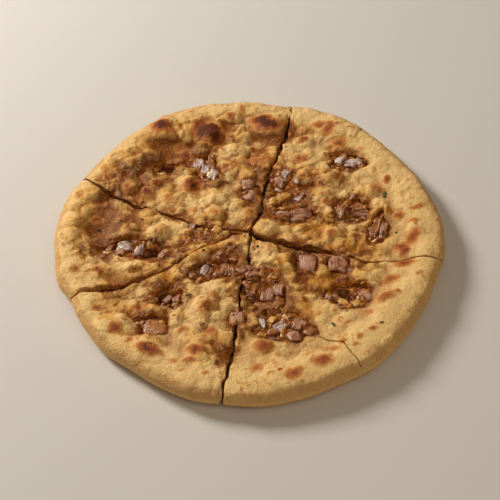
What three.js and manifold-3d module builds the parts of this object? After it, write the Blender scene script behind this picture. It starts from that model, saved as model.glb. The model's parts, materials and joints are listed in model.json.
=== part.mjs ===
// A stuffed paratha, baked round and cut into five slices that still lie together.
// Millimetres, +Z up. The origin is on the table, under the middle of the bread.
import * as THREE from 'three';
import { mergeVertices } from 'three/addons/utils/BufferGeometryUtils.js';
import Module from 'manifold-3d';

const wasm = await Module();
wasm.setup();

// ---- Driving dimensions ----

const breadRadius = 110;
const middleHeight = 9.2;
const rimNose = 9.5; // from the outer edge to the crest of the rim
const rimSlope = 19; // from the crest down to the flat middle
const crustThickness = 2.4;
const pocketRadius = 91; // the filling ends here, inside the solid rim
const pocketTaper = 4; // the filling thins to a blunt edge over this width
const gap = 0.3; // between the filling and the dough round it
const flatUnderside = 0.6; // share of the radius out to which the underside has no rings
const noseFullness = 0.8; // under 1, the rim's nose is squarer than a circle
const noseStep = 22.5; // degrees
const belowBread = -5; // where the knife's slabs start
const aboveBread = 25; // where every cutting tool ends
const segments = 90;
const ringStep = 6;
const pocketSegments = 40;
const pocketStep = 11;

// Distance from the origin to the bread's edge, by direction in degrees.
const edgeRadii = [
  [5, 109.6], [33, 107.8], [60, 110.6], [73, 111], [76, 109.2], [92, 111.6], [116, 112.8],
  [144, 109], [177, 111.4], [194, 110.2], [202, 107], [231, 109.4], [258, 112.4], [281, 113],
  [302, 111.3], [332, 108.1], [350, 110.4],
];

// Height of the rim's crest, by direction in degrees.
const rimHeights = [
  [20, 12.5], [70, 11.8], [120, 12.4], [170, 12.6], [215, 12.8], [262, 13.2], [300, 14.6], [335, 14.2],
];

// The knife's cuts, from the middle outwards. Each row is x, y and the width of the gap there.
const hub = [1, 2.6];
const cuts = [
  [ // between the back slice and the right slice
    [...hub, 2.4], [3.5, 9, 2.6], [8, 21, 2.4], [9.4, 35, 2.2], [14.6, 51, 2.6],
    [20, 65, 2.4], [24.8, 79, 1.8], [28, 96, 1.2], [34, 120, 1],
  ],
  [ // between the back slice and the left slice
    [...hub, 2], [-5, 5.4, 2], [-14, 6, 2], [-26, 8, 1.6], [-35, 12.4, 1.6], [-45, 18.4, 1.8],
    [-52, 22.6, 1.6], [-64, 26, 2.2], [-76, 32.4, 2.6], [-86, 40.4, 1.6], [-110, 60, 1],
  ],
  [ // between the left slice and the front left slice
    [...hub, 1.6], [-8, 3.2, 1.6], [-19, -4.4, 1.6], [-31, -10.6, 1.4], [-44, -20, 1.4],
    [-53, -25.4, 1.6], [-64, -29.6, 2.4], [-71, -33, 4], [-84, -35.6, 4.4], [-93, -37.4, 2.6],
    [-100, -40.6, 1.6], [-116, -48, 1.4],
  ],
  [ // between the two front slices
    [...hub, 1.4], [0.2, -6, 1.4], [-0.8, -21, 1.6], [-4.6, -34, 2.4], [-7, -50, 2],
    [-9.4, -68, 2], [-12.4, -86, 2.4], [-15.4, -99, 2], [-20, -120, 2],
  ],
  [ // between the right slice and the front right slice
    [...hub, 2.4], [4, -1, 3.2], [10, -4.2, 4.6], [19, -7.6, 5.2], [29, -10.4, 4.8], [38, -13.4, 3.4],
    [46, -17.2, 2.2], [58, -21.6, 1.6], [66, -24.2, 1.4], [76, -23.7, 0.8], [88, -23.6, 0.8],
    [97, -24.8, 1.4], [120, -27.6, 1.2],
  ],
];

// A jagged crack in the top of the front right slice, which stops on the rim.
const crackFloor = middleHeight - 1;
const crack = [
  [33, -72, 1.6], [38, -75.4, 1.1], [43, -78, 1], [47.6, -80.4, 0.9], [48.6, -84, 0.9],
  [51, -89, 0.7], [54, -92.4, 0.6], [55, -96, 0.5],
];

// Places where the top crust is torn open over the filling: x, y, half length, half width, turn.
const openingCorners = 10;
const openingTear = [0.9, 1.1]; // how far in and out the torn edge wanders, as a share of its size
const openingFloor = crustThickness + 1;
const openings = [
  [-47.5, 57.5, 7.5, 5.6, 0],
  [-25, 56, 12, 8.5, -50],
  [2, 34, 9, 6, -70],
  [-63.5, -5, 19, 6.4, -12],
  [-46.5, -41, 8.6, 7.4, 20],
  [-53.5, -60.5, 8.4, 5.8, 10],
  [-23, -23.5, 14.5, 6.6, 3],
  [-8.2, -58, 4.6, 5.6, 0],
  [7, -39, 11, 15, 10],
  [17, -64.5, 17, 9.6, -14],
  [32, -21.5, 6, 7.6, 0],
  [48.6, -23, 6.6, 6, 0],
  [52.6, -45, 13, 8, -18],
  [60.8, 55.5, 10, 7, -10],
  [20.8, 44, 7.4, 4.4, 68],
  [20, 28.6, 8.2, 5, 24],
  [30.4, 31.4, 5.8, 3.4, 66],
  [26.4, 15.6, 12, 4.8, -4],
  [59.5, 17.6, 11, 7.6, 12],
  [73.6, 2, 11.4, 5.2, 72],
];

// The deeper of these, where the filling itself has sunk or fallen out.
const pits = [
  [-47.5, 57.5, 7, 5, 0],
  [-55, -8, 8, 5, 0],
  [-46.5, -41, 7.4, 6.4, 20],
  [50.6, -44.6, 9, 6, -18],
];
const pitDepth = 5; // below the crust

// Pieces of onion that show in the openings: x, y, length, width, turn.
const onionDepth = 5;
const onionCurve = 1.2; // how much lower its ends are than its middle
const onionTilt = 0.15; // radians either way
const onionRise = [0.2, -0.4]; // of its top from the plain top of the bread
const onions = [
  [-48, 59, 9, 6, 10], [-28.5, 60, 9, 5, 62], [-24, 55.5, 7, 5, 80], [-19.5, 50, 8.5, 5, 62],
  [-21, 61.5, 7, 3, 70], [-32, 55, 4.5, 3.5, 40], [2, 32, 10.5, 6.6, -25], [1, 40, 8, 6, 10],
  [-70, -2.5, 8, 6.6, 15], [-62, -5, 8.4, 5, 78], [-79, -2, 7.6, 3.4, 80], [-73, -7, 5, 3.6, 0],
  [-49, -10, 6, 3.4, 60], [-46, -40.4, 6.4, 5, 60], [-52, -41, 7, 3, 80], [-41, -41, 8, 3, 78],
  [-53.5, -60.5, 13.6, 8.6, 12], [-25.6, -21, 9.4, 4, 72], [-12.4, -24, 8.6, 7.4, 80],
  [-18, -25, 8, 4.6, 74], [-33, -25.4, 6, 4.6, 20], [-8.4, -58, 9, 6.4, 84], [1.6, -27, 8.6, 5, 22],
  [8.4, -41.6, 9, 6.6, 76], [14.6, -38.6, 8, 4.6, 84], [0, -39, 8.6, 4.6, 86], [6.6, -49.6, 11.6, 5, 10],
  [3.4, -60, 10, 7.4, 80], [10.4, -58.6, 5, 5, 0], [15.4, -64.4, 9.4, 6, 22], [24.4, -63.4, 9, 5, 68],
  [21.6, -71.6, 7, 5.4, 10], [10.4, -68, 7, 4, -10], [30, -68.6, 5, 4, 60], [31.8, -21.4, 12, 8.6, 84],
  [48.6, -23, 10.6, 9, 10], [49.6, -48, 11, 3.4, -52], [57, -51, 6, 4.6, 20], [61.6, -45.6, 7.4, 6.6, 0],
  [44.6, -42.6, 9, 4, -40], [62.4, 55, 7.6, 6, -12], [55.4, 57.4, 5.6, 3.4, 70], [67, 55.6, 5.4, 4, 60],
  [22, 46, 9, 4, 64], [19.4, 41.4, 8, 3.8, 70], [20.4, 29.4, 12.4, 4, 26], [15.6, 26.8, 6, 5, 0],
  [30.4, 31.4, 9.4, 4, 66], [20, 16.8, 8, 3.6, -4], [31, 16.4, 11, 4.6, -6], [28, 12.8, 9, 3, 2],
  [53.4, 17.8, 12, 5, 64], [64, 20.6, 9, 4.8, 8], [65, 14.6, 10, 3.4, 12], [71.8, 2.6, 17, 4, 70],
  [76, 1, 15, 3.6, 75],
];

// Large blisters raised in the crust: x, y, half length, half width, turn, height.
const blisters = [
  [15, 88, 14, 11, 10, 2.4], [-21, 83, 11, 8, 20, 2], [-50, 92, 7, 6, 0, 1.4], [-82, 55, 7, 8, 0, 1.2],
  [-31, 43, 7, 6, 0, 1.2], [-19, 18, 7, 6, 0, 1.6], [2, 15, 8, 7, 0, 1.6], [-46, 31, 7, 7, 0, 1.4],
  [-51, 5, 8, 7, 0, 1.8], [-66, -19, 9, 5, 10, 1.6], [-27, -49, 7, 9, 0, 1.2], [-56, -79, 9, 6, -20, 1.4],
  [-31, -81, 7, 6, 0, 1.2], [4, -78, 7, 7, 0, 1.4], [17, -21, 7, 8, 0, 1.8], [28, -90, 14, 8, 15, 1.2],
  [73, -50, 8, 5, 25, 1], [86, -17, 7, 6, 0, 1.2], [94, -3, 6, 8, 0, 1.2], [12, 5, 9, 6, -20, 1.6],
  [55, 80, 8, 7, -30, 1.4], [50, 44, 8, 7, 0, 1.4], [35, 74, 8, 6, 0, 1.2], [48, -2, 8, 6, 0, 1.4],
];

// Broad dents in the middle: x, y, half length, half width, turn, depth.
const dents = [
  [-85, 8, 16, 20, 0, 1.3], [-45, 72, 20, 12, -20, 1.4], [8, -46, 14, 26, 8, 1], [45, -38, 22, 18, 0, 1],
  [-24, -20, 18, 12, 0, 1], [64, 10, 22, 14, 0, 0.8],
];

// Small lumps that the filling pushes up all over the middle.
const lumpCount = 90;
const lumpReach = 92;
const lumpSizes = [6, 10];
const lumpHeights = [0.5, 1.3];

// Where each kind of chance starts, so that every build is alike.
const seeds = { lumps: 11, openings: 100, onions: 500 };

const finish = {
  dough: { color: 0xd9a860, roughness: 0.62, metalness: 0 },
  filling: { color: 0x7a4a2c, roughness: 0.4, metalness: 0 },
};

// ---- Small helpers ----

const radians = THREE.MathUtils.degToRad;
const smooth = (from, to, value) => THREE.MathUtils.smoothstep(value, from, to);

// A repeatable stream of numbers from 0 to 1.
function randomStream(seed) {
  let state = seed;
  return () => {
    state = (state * 1664525 + 1013904223) % 4294967296;
    return state / 4294967296;
  };
}

// Blends smoothly between the rows of a table of [degrees, value] that runs once round the bread.
function roundTable(rows, x, y) {
  const angle = (THREE.MathUtils.radToDeg(Math.atan2(y, x)) + 360 - rows[0][0]) % 360;
  const after = rows.findIndex(([start]) => start - rows[0][0] > angle);
  const next = after < 0 ? [rows[0][0] + 360, rows[0][1]] : rows[after];
  const last = after < 0 ? rows[rows.length - 1] : rows[after - 1];
  return last[1] + (next[1] - last[1]) * smooth(last[0], next[0], angle + rows[0][0]);
}

// How far inside an oval a point lies: 1 in the middle, 0 on its edge and outside.
function ovalWeight(x, y, [cx, cy, halfLength, halfWidth, turn]) {
  const c = Math.cos(radians(turn));
  const s = Math.sin(radians(turn));
  const along = ((x - cx) * c + (y - cy) * s) / halfLength;
  const across = ((y - cy) * c - (x - cx) * s) / halfWidth;
  return Math.max(0, 1 - along * along - across * across);
}

const sumOf = (ovals, x, y) => ovals.reduce((sum, oval) => {
  const weight = ovalWeight(x, y, oval);
  return sum + oval[5] * weight * weight * (3 - 2 * weight);
}, 0);

const between = ([from, to], random) => from + (to - from) * random();

function scatteredLumps() {
  const random = randomStream(seeds.lumps);
  return Array.from({ length: lumpCount }, () => {
    const angle = 2 * Math.PI * random();
    const radius = lumpReach * Math.sqrt(random());
    const size = between(lumpSizes, random);
    const height = between(lumpHeights, random);
    return [radius * Math.cos(angle), radius * Math.sin(angle), size, size, 0, height];
  });
}

const lumps = scatteredLumps();

// ---- Form of the bread ----

const rimCrest = (x, y) => roundTable(rimHeights, x, y);

// The plain top, without blisters and lumps: a flat middle that climbs to the rim.
function plainTop(x, y) {
  const edge = roundTable(edgeRadii, x, y);
  const climb = smooth(edge - rimNose - rimSlope, edge - rimNose, Math.hypot(x, y));
  return middleHeight + (rimCrest(x, y) - middleHeight) * climb - sumOf(dents, x, y);
}

const reliefAt = (x, y) => sumOf(blisters, x, y) + sumOf(lumps, x, y);

// The rim's rounded nose and the flat underside, then rings over the top to the middle.
function breadProfile() {
  const points = [new THREE.Vector2(0, 0), new THREE.Vector2(breadRadius * flatUnderside, 0)];
  for (let degrees = -90; degrees <= 90; degrees += noseStep) {
    const c = Math.cos(radians(degrees)) ** noseFullness;
    const s = Math.sign(degrees) * Math.abs(Math.sin(radians(degrees))) ** noseFullness;
    points.push(new THREE.Vector2(breadRadius - rimNose + rimNose * c, (1 + s) / 2));
  }
  for (let radius = breadRadius - rimNose - ringStep; radius > ringStep; radius -= ringStep) {
    points.push(new THREE.Vector2(radius, 1));
  }
  points.push(new THREE.Vector2(0, 1));
  return points;
}

// A lathe about Z whose profile height runs from 0 to 1, moved point by point by the given rule.
function shapedLathe(profile, count, place) {
  const geometry = new THREE.LatheGeometry(profile, count).rotateX(Math.PI / 2);
  const position = geometry.getAttribute('position');
  for (let i = 0; i < position.count; i += 1) {
    const [x, y, z] = place(position.getX(i), position.getY(i), position.getZ(i));
    position.setXYZ(i, x, y, z);
  }
  return geometry;
}

function breadGeometry() {
  return shapedLathe(breadProfile(), segments, (x, y, share) => {
    const stretch = roundTable(edgeRadii, x, y) / breadRadius;
    const top = plainTop(x * stretch, y * stretch) + reliefAt(x * stretch, y * stretch);
    return [x * stretch, y * stretch, share * top];
  });
}

// The space for the filling between the two crusts, or the filling itself when shrunk by the gap.
function pocketGeometry(shrink) {
  const edge = pocketRadius - shrink;
  const full = edge - pocketTaper;
  const profile = [new THREE.Vector2(0, 0), new THREE.Vector2(full, 0), new THREE.Vector2(edge, 0.5)];
  for (let radius = full; radius > pocketStep / 2; radius -= pocketStep) {
    profile.push(new THREE.Vector2(radius, 1));
  }
  profile.push(new THREE.Vector2(0, 1));
  return shapedLathe(profile, pocketSegments, (x, y, share) => {
    const low = crustThickness + shrink;
    const high = plainTop(x, y) - crustThickness - shrink;
    return [x, y, low + (high - low) * share];
  });
}

// A standing slab as thick as the gap in a cut's rows, made wider by the given amount.
function slabGeometry(rows, wider, bottom, top) {
  const left = [];
  const right = [];
  rows.forEach(([x, y, width], i) => {
    const from = rows[Math.max(i - 1, 0)];
    const to = rows[Math.min(i + 1, rows.length - 1)];
    const along = new THREE.Vector2(to[0] - from[0], to[1] - from[1]).normalize();
    const side = width / 2 + wider;
    left.push(new THREE.Vector2(x - along.y * side, y + along.x * side));
    right.unshift(new THREE.Vector2(x + along.y * side, y - along.x * side));
  });
  return standing(new THREE.Shape([...left, ...right]), bottom, top);
}

function standing(shape, bottom, top) {
  const options = { depth: top - bottom, bevelEnabled: false, curveSegments: 3 };
  return new THREE.ExtrudeGeometry(shape, options).translate(0, 0, bottom);
}

// A torn opening's uneven outline, as a column through the top crust.
function openingGeometry([x, y, halfLength, halfWidth, turn], index, shrink) {
  const random = randomStream(seeds.openings + index);
  const shape = new THREE.Shape(Array.from({ length: openingCorners }, (_, i) => {
    const angle = (2 * Math.PI * i) / openingCorners;
    const tear = between(openingTear, random);
    return new THREE.Vector2(
      (halfLength * tear - shrink) * Math.cos(angle),
      (halfWidth * tear - shrink) * Math.sin(angle),
    );
  }));
  return standing(shape, openingFloor + shrink, aboveBread)
    .rotateZ(radians(turn)).translate(x, y, 0);
}

// The bowl that a pit leaves in the filling.
function pitGeometry([x, y, halfLength, halfWidth, turn]) {
  return new THREE.SphereGeometry(1, 10, 6)
    .scale(halfLength, halfWidth, pitDepth)
    .rotateZ(radians(turn))
    .translate(x, y, plainTop(x, y));
}

// A cut piece of onion: a short block with a curved top, standing in the filling.
function onionGeometry([x, y, length, width, turn], index) {
  const random = randomStream(seeds.onions + index);
  const block = new THREE.BoxGeometry(length, width, onionDepth, 2, 1, 1);
  const position = block.getAttribute('position');
  for (let i = 0; i < position.count; i += 1) {
    const fromMiddle = (2 * position.getX(i)) / length;
    position.setZ(i, position.getZ(i) - onionCurve * fromMiddle * fromMiddle);
  }
  const height = plainTop(x, y) - onionDepth / 2 + between(onionRise, random);
  return block
    .rotateX(between([-onionTilt, onionTilt], random))
    .rotateZ(radians(turn))
    .translate(x, y, height);
}

// ---- Solids ----

// The geometry as a manifold-3d solid.
function solidOf(geometry) {
  geometry.deleteAttribute('normal');
  geometry.deleteAttribute('uv');
  const merged = mergeVertices(geometry);
  return new wasm.Manifold(new wasm.Mesh({
    numProp: 3,
    vertProperties: merged.getAttribute('position').array,
    triVerts: new Uint32Array(merged.index.array),
  }));
}

// The solid back as a three.js geometry.
function geometryOf(solid) {
  const mesh = solid.getMesh();
  const geometry = new THREE.BufferGeometry();
  geometry.setAttribute('position', new THREE.BufferAttribute(mesh.vertProperties, 3));
  geometry.setIndex(new THREE.BufferAttribute(mesh.triVerts, 1));
  geometry.computeVertexNormals();
  return geometry;
}

const joined = (solids) => solids.reduce((whole, solid) => whole.add(solid));
const slabOf = (rows, wider, bottom) => solidOf(slabGeometry(rows, wider, bottom, aboveBread));
const cutSlabs = (wider) => joined(cuts.map((rows) => slabOf(rows, wider, belowBread)));
const openColumns = (shrink) => joined(openings.map((row, i) => solidOf(openingGeometry(row, i, shrink))));

// The direction in which a slice lies, counted from the first cut.
function directionOf(solid) {
  const centre = new THREE.Vector3();
  const { min, max } = solid.boundingBox();
  centre.addVectors(new THREE.Vector3(...min), new THREE.Vector3(...max)).multiplyScalar(0.5);
  const firstCut = Math.atan2(cuts[0].at(-1)[1], cuts[0].at(-1)[0]);
  return (Math.atan2(centre.y, centre.x) - firstCut + 2 * Math.PI) % (2 * Math.PI);
}

// Parts a solid along the cuts into its five slices, in order round the bread.
function slicesOf(solid, recess) {
  return solid.subtract(cutSlabs(recess)).decompose()
    .sort((a, b) => b.volume() - a.volume())
    .slice(0, cuts.length)
    .sort((a, b) => directionOf(a) - directionOf(b));
}

const largestOf = (solid) => solid.decompose().reduce((a, b) => (a.volume() > b.volume() ? a : b));

function doughSlices() {
  const hollow = joined([solidOf(pocketGeometry(0)), openColumns(0), slabOf(crack, 0, crackFloor)]);
  return slicesOf(solidOf(breadGeometry()), 0).map((slice) => largestOf(slice.subtract(hollow)));
}

function fillingSlices() {
  const sunken = joined(pits.map((row) => solidOf(pitGeometry(row))));
  const pieces = joined(onions.map((row, i) => solidOf(onionGeometry(row, i))));
  const showing = pieces.intersect(openColumns(gap));
  const core = solidOf(pocketGeometry(gap)).subtract(sunken);
  return slicesOf(core.add(showing), gap).map(largestOf);
}

// ---- The bread ----

const bread = new THREE.Group();

function addSlices(solids, name, { color, roughness, metalness }) {
  solids.forEach((solid, i) => {
    const material = new THREE.MeshStandardMaterial({ color, roughness, metalness });
    const mesh = new THREE.Mesh(geometryOf(solid), material);
    mesh.name = `${name}_${i + 1}`;
    bread.add(mesh);
  });
}

addSlices(doughSlices(), 'slice', finish.dough);
addSlices(fillingSlices(), 'filling', finish.filling);

export default bread;
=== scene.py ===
# %% [markdown]
# # A stuffed paratha, cut into five slices
# A paratha is an unleavened bread, here rolled round a layer of spiced onion and baked on a griddle.
# The steam pushes the crust up into bubbles, and every bubble that touches the hot iron browns.
# The finished model has the dough of each slice, the filling of each slice, the onion pieces that
# show, and a few herbs. The solids of the frame give the places, and everything here is fitted to them.

import json
import math

import bpy
import numpy as np
from mathutils import Matrix, Vector

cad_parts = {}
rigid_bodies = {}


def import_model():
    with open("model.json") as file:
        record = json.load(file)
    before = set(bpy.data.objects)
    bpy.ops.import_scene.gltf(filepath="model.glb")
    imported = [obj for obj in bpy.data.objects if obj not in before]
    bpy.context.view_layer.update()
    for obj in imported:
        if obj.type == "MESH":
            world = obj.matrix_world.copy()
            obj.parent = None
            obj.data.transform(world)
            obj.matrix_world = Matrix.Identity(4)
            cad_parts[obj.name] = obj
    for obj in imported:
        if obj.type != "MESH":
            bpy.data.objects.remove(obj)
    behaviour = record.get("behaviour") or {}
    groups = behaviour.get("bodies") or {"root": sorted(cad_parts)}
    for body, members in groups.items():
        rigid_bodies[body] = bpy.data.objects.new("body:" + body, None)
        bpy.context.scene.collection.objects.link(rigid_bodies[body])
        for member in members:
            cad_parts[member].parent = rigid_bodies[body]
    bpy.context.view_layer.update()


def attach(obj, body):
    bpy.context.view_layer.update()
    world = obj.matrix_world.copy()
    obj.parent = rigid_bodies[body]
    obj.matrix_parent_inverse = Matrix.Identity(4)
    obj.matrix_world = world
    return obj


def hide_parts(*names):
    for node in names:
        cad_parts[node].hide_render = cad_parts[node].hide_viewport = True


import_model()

# %% [markdown]
# ## Measures
# A baker thinks in millimetres, so the sizes here are in millimetres too, and a mesh is scaled to
# metres only when it is made. The outline and the height of the rim are tables that run once round
# the bread. A table needs few rows, because the values between them blend smoothly.

# %% The bread's main sizes
MM = 0.001
bread_radius = 110
middle_height = 9.2
rim_nose = 9.5
rim_slope = 19
crust_thickness = 2.4
pocket_radius = 91
pocket_taper = 4
gap = 0.3
nose_fullness = 0.8
above_bread = 25
below_bread = -5

edge_radii = [
    (5, 109.6), (33, 107.8), (60, 110.6), (73, 111), (76, 109.2), (92, 111.6), (116, 112.8), (144, 109),
    (177, 111.4), (194, 110.2), (202, 107), (231, 109.4), (258, 112.4), (281, 113), (302, 111.3),
    (332, 108.1), (350, 110.4),
]
rim_heights = [
    (20, 12.5), (70, 11.8), (120, 12.4), (170, 12.6), (215, 12.8), (262, 13.2), (300, 14.6), (335, 14.2),
]
print("bread about", 2 * bread_radius, "mm across and", middle_height, "mm high in the middle")

# %% [markdown]
# The knife's cuts start at one point near the middle and wander a little, as a hand does. Each row is
# x, y and the width of the gap there. The crack is a tear in the top of one slice only.

# %% The cuts and the crack
hub = (1, 2.6)
cuts = [
    [(*hub, 2.4), (3.5, 9, 2.6), (8, 21, 2.4), (9.4, 35, 2.2), (14.6, 51, 2.6), (20, 65, 2.4),
     (24.8, 79, 1.8), (28, 96, 1.2), (34, 120, 1)],
    [(*hub, 2), (-5, 5.4, 2), (-14, 6, 2), (-26, 8, 1.6), (-35, 12.4, 1.6), (-45, 18.4, 1.8),
     (-52, 22.6, 1.6), (-64, 26, 2.2), (-76, 32.4, 2.6), (-86, 40.4, 1.6), (-110, 60, 1)],
    [(*hub, 1.6), (-8, 3.2, 1.6), (-19, -4.4, 1.6), (-31, -10.6, 1.4), (-44, -20, 1.4), (-53, -25.4, 1.6),
     (-64, -29.6, 2.4), (-71, -33, 4), (-84, -35.6, 4.4), (-93, -37.4, 2.6), (-100, -40.6, 1.6),
     (-116, -48, 1.4)],
    [(*hub, 1.4), (0.2, -6, 1.4), (-0.8, -21, 1.6), (-4.6, -34, 2.4), (-7, -50, 2), (-9.4, -68, 2),
     (-12.4, -86, 2.4), (-15.4, -99, 2), (-20, -120, 2)],
    [(*hub, 2.4), (4, -1, 3.2), (10, -4.2, 4.6), (19, -7.6, 5.2), (29, -10.4, 4.8), (38, -13.4, 3.4),
     (46, -17.2, 2.2), (58, -21.6, 1.6), (66, -24.2, 1.4), (76, -23.7, 0.8), (88, -23.6, 0.8),
     (97, -24.8, 1.4), (120, -27.6, 1.2)],
]
crack_floor = middle_height - 1
crack = [
    (33, -72, 1.6), (38, -75.4, 1.1), (43, -78, 1), (47.6, -80.4, 0.9), (48.6, -84, 0.9),
    (51, -89, 0.7), (54, -92.4, 0.6), (55, -96, 0.5),
]
print(len(cuts), "cuts meet at", hub)

# %% [markdown]
# Steam and sharp onion edges tear the top crust open in places. Each tear is an oval here: x, y, half
# length, half width and turn in degrees. In some of them the filling has sunk and left a pit.

# %% Tears and pits
tear_floor = crust_thickness + 1
tears = [
    (-47.5, 57.5, 7.5, 5.6, 0), (-25, 56, 12, 8.5, -50), (2, 34, 9, 6, -70), (-63.5, -5, 19, 6.4, -12),
    (-46.5, -41, 8.6, 7.4, 20), (-53.5, -60.5, 8.4, 5.8, 10), (-23, -23.5, 14.5, 6.6, 3),
    (-8.2, -58, 4.6, 5.6, 0), (7, -39, 11, 15, 10), (17, -64.5, 17, 9.6, -14), (32, -21.5, 6, 7.6, 0),
    (48.6, -23, 6.6, 6, 0), (52.6, -45, 13, 8, -18), (60.8, 55.5, 10, 7, -10), (20.8, 44, 7.4, 4.4, 68),
    (20, 28.6, 8.2, 5, 24), (30.4, 31.4, 5.8, 3.4, 66), (26.4, 15.6, 12, 4.8, -4),
    (59.5, 17.6, 11, 7.6, 12), (73.6, 2, 11.4, 5.2, 72),
]
pit_depth = 5
pits = [(-47.5, 57.5, 7, 5, 0), (-55, -8, 8, 5, 0), (-46.5, -41, 7.4, 6.4, 20), (50.6, -44.6, 9, 6, -18)]
print(len(tears), "tears,", len(pits), "of them sunk")

# %% [markdown]
# Blisters stand up where the crust came away from the filling, and dents are where the filling sank.
# Each row ends in a height or a depth in millimetres. The swells are broader and go both ways. In the
# calm zones the dough stayed tight and has hardly any small bubbles.

# %% Blisters and dents
blisters = [
    (15, 88, 14, 11, 10, 2.4), (-21, 83, 11, 8, 20, 2), (-50, 92, 7, 6, 0, 1.4), (-82, 55, 7, 8, 0, 1.2),
    (-31, 43, 7, 6, 0, 1.2), (-19, 18, 7, 6, 0, 1.6), (2, 15, 8, 7, 0, 1.6), (-46, 31, 7, 7, 0, 1.4),
    (-51, 5, 8, 7, 0, 1.8), (-66, -19, 9, 5, 10, 1.6), (-27, -49, 7, 9, 0, 1.2), (-56, -79, 9, 6, -20, 1.4),
    (-31, -81, 7, 6, 0, 1.2), (4, -78, 7, 7, 0, 1.4), (17, -21, 7, 8, 0, 1.8), (28, -90, 14, 8, 15, 1.2),
    (73, -50, 8, 5, 25, 1), (86, -17, 7, 6, 0, 1.2), (94, -3, 6, 8, 0, 1.2), (12, 5, 9, 6, -20, 1.6),
    (55, 80, 8, 7, -30, 1.4), (50, 44, 8, 7, 0, 1.4), (35, 74, 8, 6, 0, 1.2), (48, -2, 8, 6, 0, 1.4),
]
dents = [
    (-85, 8, 16, 20, 0, 1.3), (-45, 72, 20, 12, -20, 1.4), (8, -46, 14, 26, 8, 1),
    (45, -38, 22, 18, 0, 1), (-24, -20, 18, 12, 0, 1), (64, 10, 22, 14, 0, 0.8),
]
lump_count = 90
lump_reach = 92
lump_sizes = (6, 10)
lump_heights = (0.5, 1.3)
swells = [
    (-70, -22, 26, 8, 6, 1.5), (-22, -9.5, 20, 4.4, 27, 1.3), (62, -60, 34, 15, 45, 1.2),
    (70, -30, 20, 10, 10, 1), (-82, 10, 15, 20, 0, -1.3), (-46, 68, 22, 13, -25, -1.2),
    (10, -50, 17, 24, 5, -1), (50, -42, 18, 14, -20, -1.2), (-54, -60, 13, 9, 10, -1),
    (-47, -41, 11, 9, 20, -0.6), (62, 16, 18, 11, 10, -0.9), (26, 26, 16, 20, 20, -0.8),
    (-24, 57, 15, 11, -45, -0.8), (-26, -21, 18, 9, 10, -0.9), (-66, -5, 22, 9, -12, -1),
    (61, 55, 13, 9, -10, -0.7), (12, 76, 17, 5, 4, -1.2), (-1, 89, 4, 11, 0, -0.9),
    (-36, 72, 9, 12, 20, -0.9), (-58, 66, 12, 7, 30, 0.9), (52, 40, 14, 9, 30, 0.9),
    (-20, 32, 16, 9, 20, 0.9), (-48, 7, 14, 9, 10, 1), (20, -14, 10, 8, 0, 0.9),
]
calm_zones = [
    (15, 88, 19, 14, 10, 1), (-26, 85, 14, 10, 20, 0.5), (-85, 10, 18, 22, 0, 0.65),
    (-50, 74, 20, 12, -20, 0.7), (78, 60, 16, 26, 35, 0.6), (-22, -9.5, 22, 5, 27, 0.9),
    (-40, -76, 30, 14, -12, 0.5),
]
print(len(blisters), "blisters,", len(dents), "dents,", len(swells), "swells,", lump_count, "small lumps")

# %% [markdown]
# The griddle leaves a brown spot wherever a bubble rested on it. The last number of a row says how dark
# it is, from 0 for dough that is barely gold to 1 for scorched. The spots are grouped by slice.

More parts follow.
